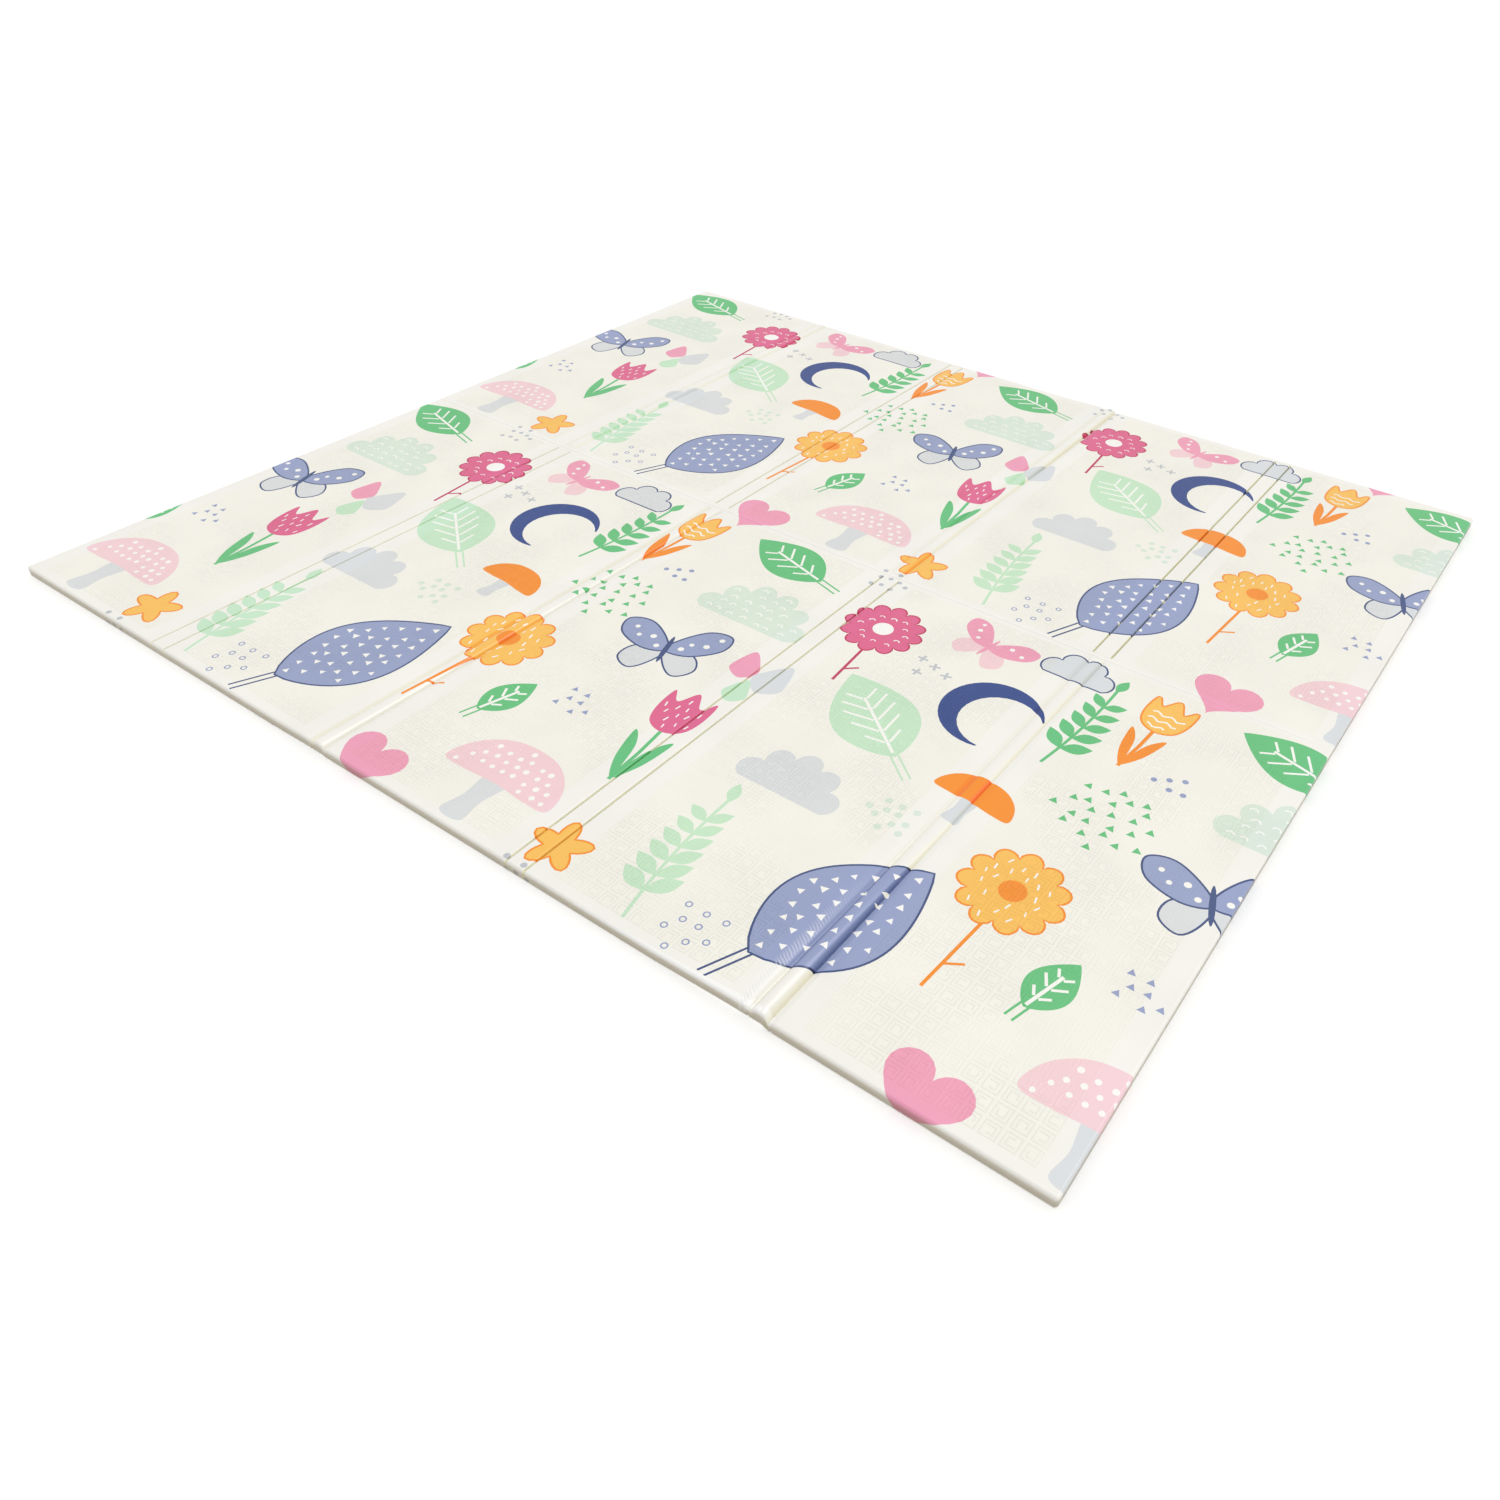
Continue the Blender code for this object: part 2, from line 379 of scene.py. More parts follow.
    def fold_height(self, fold: Fold, x: Points, y: Points) -> Points:
        """Height of one soft fold in the film.

        Args:
            fold: The fold.
            x: Places across the sheet.
            y: Places along the sheet.

        Returns:
            Heights over the plain face.
        """
        middle = self.hinge_middle(fold.hinge)
        side = fold.half.value
        start = np.array([middle + fold.start_offset, side * (self.half_length - fold.start_in)])
        end = np.array([middle + fold.end_offset, side * (self.half_length - fold.end_in)])
        run = end - start
        along = ((x - start[0]) * run[0] + (y - start[1]) * run[1]) / (run @ run)
        held = np.clip(along, 0, 1)
        distance = np.hypot(x - start[0] - held * run[0], y - start[1] - held * run[1])
        taper = smooth_step(along / self.fold_taper) * smooth_step((1 - along) / self.fold_taper)
        return fold.height * taper * np.exp(-((distance / fold.half_width) ** 2))

    def soft_height(self, x: Points, y: Points) -> Points:
        """Height of the upper face over the plain sheet, without its cuts.

        Args:
            x: Places across the sheet.
            y: Places along the sheet.

        Returns:
            Heights over the plain face.
        """
        height = self.crease_ridge(y)
        for bead in self.beads:
            height = height + self.bead_height(bead, x, y)
        for fold in self.folds:
            height = height + self.fold_height(fold, x, y)
        for number in self.hinges:
            offset = np.abs(x - self.hinge_middle(number))
            from_lip = np.abs(offset - self.half_strip) - self.cut_width / 2
            lip = self.lip_drop * (1 - smooth_step(from_lip / self.lip_run))
            for half in Half:
                if self.bead_of(number, half) is None:
                    height = height - lip * self.off_crease(y) * self.in_half(y, half)
        return height

    def top_cuts(self, x: Points, y: Points) -> Points:
        """Depth of the cuts that are made from above.

        Args:
            x: Places across the sheet.
            y: Places along the sheet.

        Returns:
            Depths under the upper face.
        """
        depth = np.zeros_like(x)
        for number in self.hinges:
            distance = np.abs(x - self.hinge_middle(number)) - self.half_strip
            for half in Half:
                if self.bead_of(number, half) is None:
                    cut = self.cut_profile(distance, self.top_cut) * self.in_half(y, half)
                    depth = np.maximum(depth, cut * self.off_crease(y))
        return depth

    def bottom_cuts(self, x: Points, y: Points) -> Points:
        """Height that the cuts from below reach.

        Args:
            x: Places across the sheet.
            y: Places along the sheet.

        Returns:
            Heights over the underside.
        """
        depth = self.cut_profile(y, self.crease_cut) * np.ones_like(x)
        for bead in self.beads:
            distance = np.abs(x - self.hinge_middle(bead.hinge)) - self.half_strip
            cut = self.cut_profile(distance, self.bottom_cut) * self.in_half(y, bead.half)
            depth = np.maximum(depth, cut * self.off_crease(y))
        return depth

    def lift(self, x: Points, y: Points) -> Points:
        """How far the whole sheet stands off the floor.

        Args:
            x: Places across the sheet.
            y: Places along the sheet.

        Returns:
            Heights over the floor.
        """
        total = np.zeros_like(x)
        for lift in self.lifts:
            offset = x - self.hinge_middle(lift.hinge)
            left = smooth_step(1 + (offset + self.half_strip) / lift.reach_left)
            right = smooth_step(1 - offset / self.half_strip)
            across = np.where(offset <= 0, left, right)
            inward = smooth_step(1 - (self.half_length - np.abs(y)) / lift.reach_in)
            total = total + lift.height * across * inward * self.in_half(y, lift.half)
        return total

    def split_film(self, film: Points) -> tuple[Points, Points, Points]:
        """Measure places on the flat film from the edge of the flat upper face.

        Args:
            film: Places on the flat film, one row each.

        Returns:
            The nearest points of the sheet's core rectangle, the directions
            outwards, and the runs past the flat face, which are under 0 on it.
        """
        reach = np.array([self.half_width, self.half_length]) - self.corner_radius
        core = np.clip(film, -reach, reach)
        arm = film - core
        distance = np.hypot(arm[:, 0], arm[:, 1])
        outward = arm / np.maximum(distance, NO_LENGTH)[:, None]
        return core, outward, distance - (self.corner_radius - self.top_edge)

    def place(self, film: Points) -> Points:
        """Wrap places on the flat film over the sheet.

        Args:
            film: Places on the flat film, one row each.

        Returns:
            Places on the mat, one row each.
        """
        core, outward, run = self.split_film(film)
        past = np.maximum(run, 0)
        turn = np.clip(past / self.top_edge, 0, math.pi / 2)
        low_turn = np.clip((past - self.arc_run - self.side_run) / self.bottom_edge, 0, math.pi / 2)
        out = self.top_edge * np.sin(turn) - self.bottom_edge * (1 - np.cos(low_turn))
        inner = self.corner_radius - self.top_edge
        edge = core + outward * (inner + out)[:, None]
        plan = np.where((run > 0)[:, None], edge, film)
        x, y = plan[:, 0], plan[:, 1]
        face = self.thickness + self.soft_height(x, y)
        top = face - self.top_edge * (1 - np.cos(turn))
        down = np.clip((past - self.arc_run) / self.side_run, 0, 1)
        foot = self.bottom_edge * (1 - np.sin(low_turn))
        height = np.where(down > 0, top * (1 - down) + foot * down, top)
        height = np.minimum(height, np.maximum(face - self.top_cuts(x, y), 0))
        height = np.maximum(height, self.bottom_cuts(x, y))
        return np.column_stack([x, y, height + self.lift(x, y)])

    def place_under(self, plan: Points) -> Points:
        """Give places on the underside their heights."""
        x, y = plan[:, 0], plan[:, 1]
        return np.column_stack([x, y, self.bottom_cuts(x, y) + self.lift(x, y)])

    def contour(self, run: float, arc_steps: int = 8) -> Points:
        """A loop round the flat film at one run past the flat face.

        Args:
            run: The run past the flat face.
            arc_steps: Steps in each corner's arc.

        Returns:
            The loop's points, the other way round from the clock.
        """
        radius = self.corner_radius - self.top_edge + run
        reach_x = self.half_width - self.corner_radius
        reach_y = self.half_length - self.corner_radius
        loop = []
        for corner, (side_x, side_y) in enumerate(((1, 1), (-1, 1), (-1, -1), (1, -1))):
            for step in range(arc_steps + 1):
                angle = (corner + step / arc_steps) * math.pi / 2
                loop.append((side_x * reach_x + radius * math.cos(angle),
                             side_y * reach_y + radius * math.sin(angle)))
        return np.array(loop)


def ellipse(radius_x: float, radius_y: float, count: int = 28) -> Points:
    """Points of an ellipse about the origin."""
    angle = np.arange(count) * 2 * math.pi / count
    return np.column_stack([radius_x * np.cos(angle), radius_y * np.sin(angle)])


def turned(points: Points, degrees: float) -> Points:
    """Turn points about the origin, the other way round from the clock."""
    angle = math.radians(degrees)
    cos, sin = math.cos(angle), math.sin(angle)
    return points @ np.array([[cos, sin], [-sin, cos]])


def smooth_loop(points: list[Pair], size: float = 1.0, steps: int = 6) -> Points:
    """A closed smooth curve through a few points.

    Args:
        points: The points, in order, as shares of the size.
        size: The size.
        steps: Points of the curve for each of them.

    Returns:
        The curve's points.
    """
    knots = np.array(points, dtype=float) * size
    before, after, beyond = (np.roll(knots, shift, axis=0) for shift in (1, -1, -2))
    curve = []
    for a, b, c, d in zip(before, knots, after, beyond):
        for step in range(steps):
            t = step / steps
            curve.append(0.5 * (2 * b + (c - a) * t + (2 * a - 5 * b + 4 * c - d) * t ** 2
                                + (3 * b - a - 3 * c + d) * t ** 3))
    return np.array(curve)


def against_clock(loop: Points) -> Points:
    """A closed loop's points, in the order that runs the other way round from the clock."""
    x, y = loop[:, 0], loop[:, 1]
    twice_area = np.sum(x * np.roll(y, -1) - np.roll(x, -1) * y)
    return loop[::-1] if twice_area < 0 else loop


def grown(outline: Points, distance: float) -> Points:
    """Move a closed outline outwards by a distance.

    Args:
        outline: The outline's points, the other way round from the clock.
        distance: How far to move it, or under 0 to move it inwards.

    Returns:
        The moved outline.
    """
    along = np.roll(outline, -1, axis=0) - np.roll(outline, 1, axis=0)
    along /= np.maximum(np.hypot(along[:, 0], along[:, 1]), NO_LENGTH)[:, None]
    return outline + distance * np.column_stack([along[:, 1], -along[:, 0]])


def ribbon(path: Points | list[Pair], width: float) -> Points:
    """The outline of a line of one width along an open path.

    Args:
        path: Points of the path.
        width: Width of the line.

    Returns:
        The outline's points.
    """
    path = np.array(path, dtype=float)
    along = np.gradient(path, axis=0)
    along /= np.maximum(np.hypot(along[:, 0], along[:, 1]), NO_LENGTH)[:, None]
    across = np.column_stack([-along[:, 1], along[:, 0]]) * width / 2
    return np.vstack([path - across, (path + across)[::-1]])


def inside(points: Points, outline: Points) -> Points:
    """Tell which points lie inside a closed outline.

    Args:
        points: The points, one row each.
        outline: The outline's points.

    Returns:
        True for each point inside.
    """
    found = np.zeros(len(points), dtype=bool)
    x, y = points[:, 0], points[:, 1]
    for (ax, ay), (bx, by) in zip(outline, np.roll(outline, -1, axis=0)):
        if ay == by:
            continue
        crosses = (ay > y) != (by > y)
        found ^= crosses & (x < (bx - ax) * (y - ay) / (by - ay) + ax)
    return found


@dataclass(frozen=True)
class Patch:
    """One flat area of ink on the film."""

    outline: Points
    ink: Ink

    def moved(self, x: float, y: float, turn: float) -> Patch:
        """The same patch, turned and then moved."""
        return Patch(turned(self.outline, turn) + np.array([x, y]), self.ink)


class Filling(Enum):
    """Small white marks inside a motif."""

    NONE = "none"
    DOTS = "dots"
    TRIANGLES = "triangles"
    DASHES = "dashes"
    ARCS = "arcs"
    CROSSES = "crosses"
    WAVES = "waves"


def cross(size: float) -> Points:
    """A plus sign about the origin."""
    arm, half = size / 2, size / 9
    quarter = [(arm, -half), (arm, half), (half, half)]
    return np.vstack([turned(np.array(quarter), 90 * side) for side in range(4)])


def mark_outline(filling: Filling, size: float) -> Points:
    """Outline of one small mark about the origin.

    Args:
        filling: Which mark.
        size: Its width.

    Returns:
        The mark's points.
    """
    if filling is Filling.TRIANGLES:
        return ellipse(size * 0.62, size * 0.62, 3)
    if filling is Filling.DASHES:
        return ribbon([(0, -size * 0.6), (0, size * 0.6)], size * 0.3)
    if filling is Filling.ARCS:
        angle = np.linspace(0.1, math.pi - 0.1, 6)
        return ribbon(np.column_stack([np.cos(angle), np.sin(angle)]) * size * 0.55, size * 0.25)
    if filling is Filling.CROSSES:
        return cross(size * 1.2)
    return ellipse(size * 0.5, size * 0.5, 9)


def fill_marks(outline: Points, filling: Filling, spacing: float, size: float,
               seed: int, margin: float = 0.006) -> list[Patch]:
    """White marks spread over the inside of an outline.

    Args:
        outline: The outline to fill.
        filling: Which marks.
        spacing: Distance between them.
        size: Width of each.
        seed: Seed of their small unevenness.
        margin: Clear distance inside the outline.

    Returns:
        The marks that lie wholly inside.
    """
    if filling is Filling.NONE:
        return []
    rng = np.random.default_rng(seed)
    low, high = outline.min(axis=0), outline.max(axis=0)
    held = grown(outline, -margin)
    if filling is Filling.WAVES:
        return wave_marks(held, low, high, spacing, size)
    marks = []
    rows = np.arange(low[1] + spacing / 2, high[1], spacing * MARK_ROW_SHARE)
    for index, y in enumerate(rows):
        for x in np.arange(low[0] + (index % 2) * spacing / 2, high[0], spacing):
            place = np.array([x, y]) + rng.uniform(-MARK_DRIFT, MARK_DRIFT, 2) * spacing
            lean = rng.uniform(-MARK_LEAN, MARK_LEAN) + (90 if filling is Filling.TRIANGLES else 0)
            mark = turned(mark_outline(filling, size * rng.uniform(*MARK_SIZES)), lean) + place
            if inside(mark, held).all():
                marks.append(Patch(mark, Ink.WHITE))
    return marks


def wave_marks(held: Points, low: Points, high: Points, spacing: float, size: float) -> list[Patch]:
    """White wavy lines across the inside of an outline.

    Args:
        held: The outline that the lines stay inside.
        low: Its lowest corner.
        high: Its highest corner.
        spacing: Distance between the lines.
        size: Length of half a wave.

    Returns:
        The pieces of line that lie inside.
    """
    marks = []
    for y in np.arange(low[1] + spacing * 0.7, high[1], spacing):
        xs = np.arange(low[0], high[0], size * 0.5)
        heights = y + np.sin(xs / size * math.pi) * size * 0.28
        path = np.column_stack([xs, heights])
        kept = inside(path, held)
        start = None
        for index, ok in enumerate([*kept, False]):
            if ok and start is None:
                start = index
            if not ok and start is not None:
                if index - start >= 4:
                    marks.append(Patch(ribbon(path[start:index], size * 0.28), Ink.WHITE))
                start = None
    return marks


def outlined(outline: Points, ink: Ink, line: Ink | None, width: float = 0.0032) -> list[Patch]:
    """A patch of ink, with a line of another ink round it where one is given.

    Args:
        outline: The patch's outline.
        ink: Its ink.
        line: Ink of the line, or None.
        width: Width of the line.

    Returns:
        The patches, in the order of their printing.
    """
    if line is None:
        return [Patch(outline, ink)]
    return [Patch(grown(outline, width), line), Patch(outline, ink)]


@dataclass(frozen=True)
class Motif:
    """A motif of the print, drawn upright about the origin."""

    size: float
    ink: Ink
    line: Ink | None = None
    filling: Filling = Filling.NONE
    mark_spacing: float = 0.024
    mark_size: float = 0.008
    seed: int = 1

    def patches(self) -> list[Patch]:
        """The motif's patches of ink, in the order of their printing."""
        raise NotImplementedError

    def filled(self, outline: Points) -> list[Patch]:
        """One outline in the motif's own ink, line and filling."""
        marks = fill_marks(outline, self.filling, self.mark_spacing, self.mark_size, self.seed)
        return outlined(outline, self.ink, self.line) + marks


def both_sides(reach: Points, y: Points) -> Points:
    """A closed outline that is the same on both sides of the Y axis.

    Args:
        reach: How far the outline stands out at each height.
        y: The heights, from its foot to its tip.

    Returns:
        The outline's points, up the right side and down the left one.
    """
    return np.vstack([np.column_stack([reach, y]), np.column_stack([-reach, y])[-2:0:-1]])


@dataclass(frozen=True)
class Leaf(Motif):
    """A broad leaf on a short stalk."""

    breadth: float = 0.46
    stalk_width: float = 0.0034
    stalk_apart: float = 0.012

    def patches(self) -> list[Patch]:
        """Stalk first, then the blade and its marks."""
        stalk_ink = self.line or self.ink
        half = self.size / 2
        along = np.linspace(0, 1, 26)
        edge = self.size * self.breadth / 2 * np.sin(math.pi * along ** 0.85) ** 0.9
        y = -half * 0.7 + along * self.size * 0.85
        ends = (-half * 1.12, -half * 0.6)
        stalk = [Patch(ribbon([(x, end) for end in ends], self.stalk_width), stalk_ink)
                 for x in (-self.stalk_apart / 2, self.stalk_apart / 2)]
        return stalk + self.filled(both_sides(edge, y))


@dataclass(frozen=True)
class VeinedLeaf(Leaf):
    """A broad leaf with its veins left bare."""

    veins: int = 5
    rib_width: float = 0.005
    vein_width: float = 0.004

    def patches(self) -> list[Patch]:
        """The leaf, and then its veins."""
        half = self.size / 2
        made = Leaf.patches(self)
        rib = [(0, -half * 0.62), (0, half * 0.8 * 0.6)]
        made.append(Patch(ribbon(rib, self.rib_width), Ink.WHITE))
        for number in range(self.veins):
            share = (number + 0.6) / self.veins
            base = -half * 0.55 + share * self.size * 0.55
            reach = self.size * self.breadth * 0.30 * math.sin(math.pi * (0.15 + 0.7 * share))
            for side in (-1, 1):
                path = [(side * self.vein_width, base), (side * reach, base + reach * 0.8)]
                made.append(Patch(ribbon(path, self.vein_width), Ink.WHITE))
        return made


@dataclass(frozen=True)
class Sprig(Motif):
    """A bent stem with pairs of small leaves."""

    pairs: int = 5
    bend: float = 0.12
    stem_width: float = 0.005
    leaf_lean: float = 52.0

    def patches(self) -> list[Patch]:
        """Stem first, then the leaves from the foot up, and one at the tip."""
        share = np.linspace(0, 1, 9)
        stem = np.column_stack([self.bend * self.size * share ** 2, (share - 0.5) * self.size])
        made = [Patch(ribbon(stem, self.stem_width), self.line or self.ink)]
        leaf_length = self.size * 0.24
        for pair in range(self.pairs):
            at = 0.2 + 0.7 * pair / self.pairs
            foot = np.array([self.bend * self.size * at ** 2, (at - 0.5) * self.size])
            leaf = self.small_leaf(leaf_length * (1 - 0.4 * at))
            for side in (-1, 1):
                made += outlined(turned(leaf, side * self.leaf_lean) + foot, self.ink, self.line)
        tip = np.array([self.bend * self.size, 0.47 * self.size])
        made += outlined(self.small_leaf(leaf_length * 0.7) + tip, self.ink, self.line)
        return made

    def small_leaf(self, length: float) -> Points:
        """One small leaf that points up from the origin."""
        along = np.linspace(0, 1, 8)
        return both_sides(length * 0.24 * np.sin(math.pi * along), along * length)


@dataclass(frozen=True)
class Tulip(Motif):
    """A tulip on a stem with two leaves."""

    stem_ink: Ink = Ink.GREEN
    stem_width: float = 0.006

    def patches(self) -> list[Patch]:
        """Stem and leaves first, then the cup."""
        s = self.size
        stem = ribbon([(0, -0.5 * s), (0.01 * s, -0.2 * s), (0, 0.1 * s)], self.stem_width)
        cup = smooth_loop([
            (0.0, 0.04), (0.13, 0.10), (0.18, 0.26), (0.17, 0.46),
            (0.09, 0.36), (0.0, 0.50), (-0.09, 0.36), (-0.17, 0.46),
            (-0.18, 0.26), (-0.13, 0.10),
        ], s)
        made = [Patch(stem, self.stem_ink)]
        for side in (-1, 1):
            leaf = smooth_loop([
                (0.0, -0.48), (side * 0.10, -0.30), (side * 0.15, -0.02),
                (side * 0.05, -0.16),
            ], s)
            made.append(Patch(leaf if side > 0 else leaf[::-1], self.stem_ink))
        return made + self.filled(cup)


@dataclass(frozen=True)
class Daisy(Motif):
    """A round flower with petals, on a stem with one small leaf."""

    petals: int = 9
    stem: float = 1.0
    heart: Ink = Ink.WHITE
    petal_depth: float = 0.22
    stem_width: float = 0.005
    twig_width: float = 0.004

    def patches(self) -> list[Patch]:
        """Stem first, then the petals, their marks and the middle."""
        radius = self.size / 2
        angle = np.arange(self.petals * 8) * 2 * math.pi / (self.petals * 8)
        lobe = np.abs(np.cos(self.petals * angle / 2)) ** 0.8
        reach = radius * (1 - self.petal_depth + self.petal_depth * lobe)
        head = np.column_stack([reach * np.cos(angle), reach * np.sin(angle)])
        low = -radius - self.stem * self.size
        ink = self.line or self.ink
        at = low + 0.35 * self.stem * self.size
        twig = [(0, at), (radius * 0.3, at + radius * 0.22)]
        made = [
            Patch(ribbon([(0, low), (0, -radius * 0.8)], self.stem_width), ink),
            Patch(ribbon(twig, self.twig_width), ink),
        ]
        middle = ellipse(radius * 0.26, radius * 0.26, 16)
        clear = grown(middle, 0.004)
        marks = [patch for patch in self.filled(head)
                 if patch.ink is not Ink.WHITE or not inside(patch.outline, clear).any()]
        return made + marks + [Patch(middle, self.heart)]


@dataclass(frozen=True)
class Mushroom(Motif):
    """A mushroom with a domed cap."""

    stem_ink: Ink = Ink.GREY

    def patches(self) -> list[Patch]:
        """Stem first, then the cap with its marks."""
        s = self.size
        stem = smooth_loop([
            (-0.10, -0.42), (0.10, -0.42), (0.08, -0.22), (0.10, 0.04),
            (-0.10, 0.04), (-0.08, -0.22),
        ], s)
        cap = smooth_loop([
            (-0.50, -0.02), (-0.30, -0.05), (0.0, -0.03), (0.30, -0.05),
            (0.50, -0.02), (0.42, 0.22), (0.18, 0.38), (-0.18, 0.38),
            (-0.42, 0.22),
        ], s)
        return outlined(stem, self.stem_ink, self.line) + self.filled(cap)


@dataclass(frozen=True)
class Cloud(Motif):
    """A cloud with a flat foot."""

    puffs: int = 5
    height: float = 0.55

    def patches(self) -> list[Patch]:
        """The cloud and its marks."""
        angle = np.linspace(0, math.pi, self.puffs * 8 + 1)
        lobe = np.abs(np.sin(self.puffs * angle)) ** 0.7
        reach = self.size / 2 * (0.80 + 0.20 * lobe)
        x = reach * np.cos(angle)
        y = reach * np.sin(angle) * self.height * 2 - self.size * self.height / 2
        return self.filled(np.column_stack([x, y]))


@dataclass(frozen=True)
class Moon(Motif):
    """A crescent moon."""

    def patches(self) -> list[Patch]:
        """The crescent and its marks."""
        radius = self.size / 2
        outer = np.radians(np.linspace(50, 310, 30))
        inner = np.radians(np.linspace(296, 64, 20))
        far = np.column_stack([radius * np.cos(outer), radius * np.sin(outer)])
        near = np.column_stack([0.30 * radius + 0.80 * radius * np.cos(inner),
                                0.80 * radius * np.sin(inner)])
        return self.filled(np.vstack([far, near]))


@dataclass(frozen=True)
class Star(Motif):
    """A star with soft points."""

    points: int = 5

    def patches(self) -> list[Patch]:
        """The star and its marks."""
        radius = self.size / 2
        angle = np.arange(self.points * 10) * 2 * math.pi / (self.points * 10)
        wave = np.cos(self.points * angle)
        reach = radius * (0.72 + 0.24 * wave + 0.04 * wave ** 3)
        star = np.column_stack([-reach * np.sin(angle), reach * np.cos(angle)])
        return self.filled(star)


@dataclass(frozen=True)
class Heart(Motif):
    """A heart."""

    def patches(self) -> list[Patch]:
        """The heart and its marks."""
        t = np.arange(36) * 2 * math.pi / 36
        x = 16 * np.sin(t) ** 3
        y = 13 * np.cos(t) - 5 * np.cos(2 * t) - 2 * np.cos(3 * t) - np.cos(4 * t)
        return self.filled((np.column_stack([x, y]) * self.size / 33)[::-1])


@dataclass(frozen=True)
class Butterfly(Motif):
    """A butterfly seen from above."""

    second: Ink = Ink.GREY

    def patches(self) -> list[Patch]:
        """Lower wings, upper wings, and then the body."""
        s = self.size
        lower = smooth_loop([
            (0.0, -0.02), (0.26, -0.06), (0.34, -0.24), (0.20, -0.36),
            (0.06, -0.22),
        ], s)[::-1]
        upper = smooth_loop([
            (0.0, -0.04), (0.22, -0.06), (0.46, 0.10), (0.48, 0.30),
            (0.28, 0.32), (0.08, 0.14),
        ], s)
        flip = np.array([-1, 1])
        made = []
        for wing, ink in ((lower, self.second), (upper, self.ink)):
            for side in (1, -1):
                loop = against_clock(wing if side > 0 else wing * flip)
                made += outlined(loop, ink, self.line)
                if ink is self.ink:
                    made += fill_marks(loop, self.filling, self.mark_spacing, self.mark_size, self.seed)
        body = ellipse(0.025 * s, 0.20 * s, 14) + np.array([0, -0.03 * s])
        made.append(Patch(body, self.line or self.ink))
        return made


@dataclass(frozen=True)
class Drops(Motif):
    """Three pebbles of different inks, close together."""

    second: Ink = Ink.GREY
    third: Ink = Ink.MINT

    def patches(self) -> list[Patch]:
        """The three drops, the largest first."""
        s = self.size
        drop = against_clock(smooth_loop([
            (0, 0.60), (0.30, 0.10), (0.34, -0.20), (0.0, -0.46), (-0.34, -0.20), (-0.30, 0.10),
        ]))
        return [
            Patch(turned(drop, -8) * s * 0.62 + np.array([0.22 * s, 0.10 * s]), self.second),
            Patch(turned(drop, 14) * s * 0.52 + np.array([-0.20 * s, 0.16 * s]), self.ink),
            Patch(turned(drop, 4) * s * 0.44 + np.array([0.02 * s, -0.30 * s]), self.third),
        ]


@dataclass(frozen=True)
class Scatter(Motif):
    """A loose group of small marks on the bare film."""

    mark: Filling = Filling.DOTS
    count: int = 12
    hollow: bool = False
    ring_width: float = 0.0022

    def patches(self) -> list[Patch]:
        """The marks, spread on a loose spiral so that none touch."""
        rng = np.random.default_rng(self.seed)
        made = []
        for number in range(self.count):
            angle = number * GOLDEN_ANGLE + 0.4 * self.seed
            reach = self.size / 2 * math.sqrt((number + 0.5) / self.count)
            place = np.array([math.cos(angle), math.sin(angle)]) * reach
            place = place + rng.uniform(-0.03, 0.03, 2) * self.size
            lean = rng.uniform(-20, 20) + (90 if self.mark is Filling.TRIANGLES else 0)
            outline = turned(mark_outline(self.mark, self.mark_size), lean) + place
            made.append(Patch(outline, self.ink))
            if self.hollow:
                made.append(Patch(grown(outline, -self.ring_width), Ink.IVORY))
        return made


@dataclass(frozen=True)
class Placed:
    """A motif, and its place and turn in one repeat, in millimetres and degrees."""

    motif: Motif
    x: float
    y: float
    turn: float = 0.0


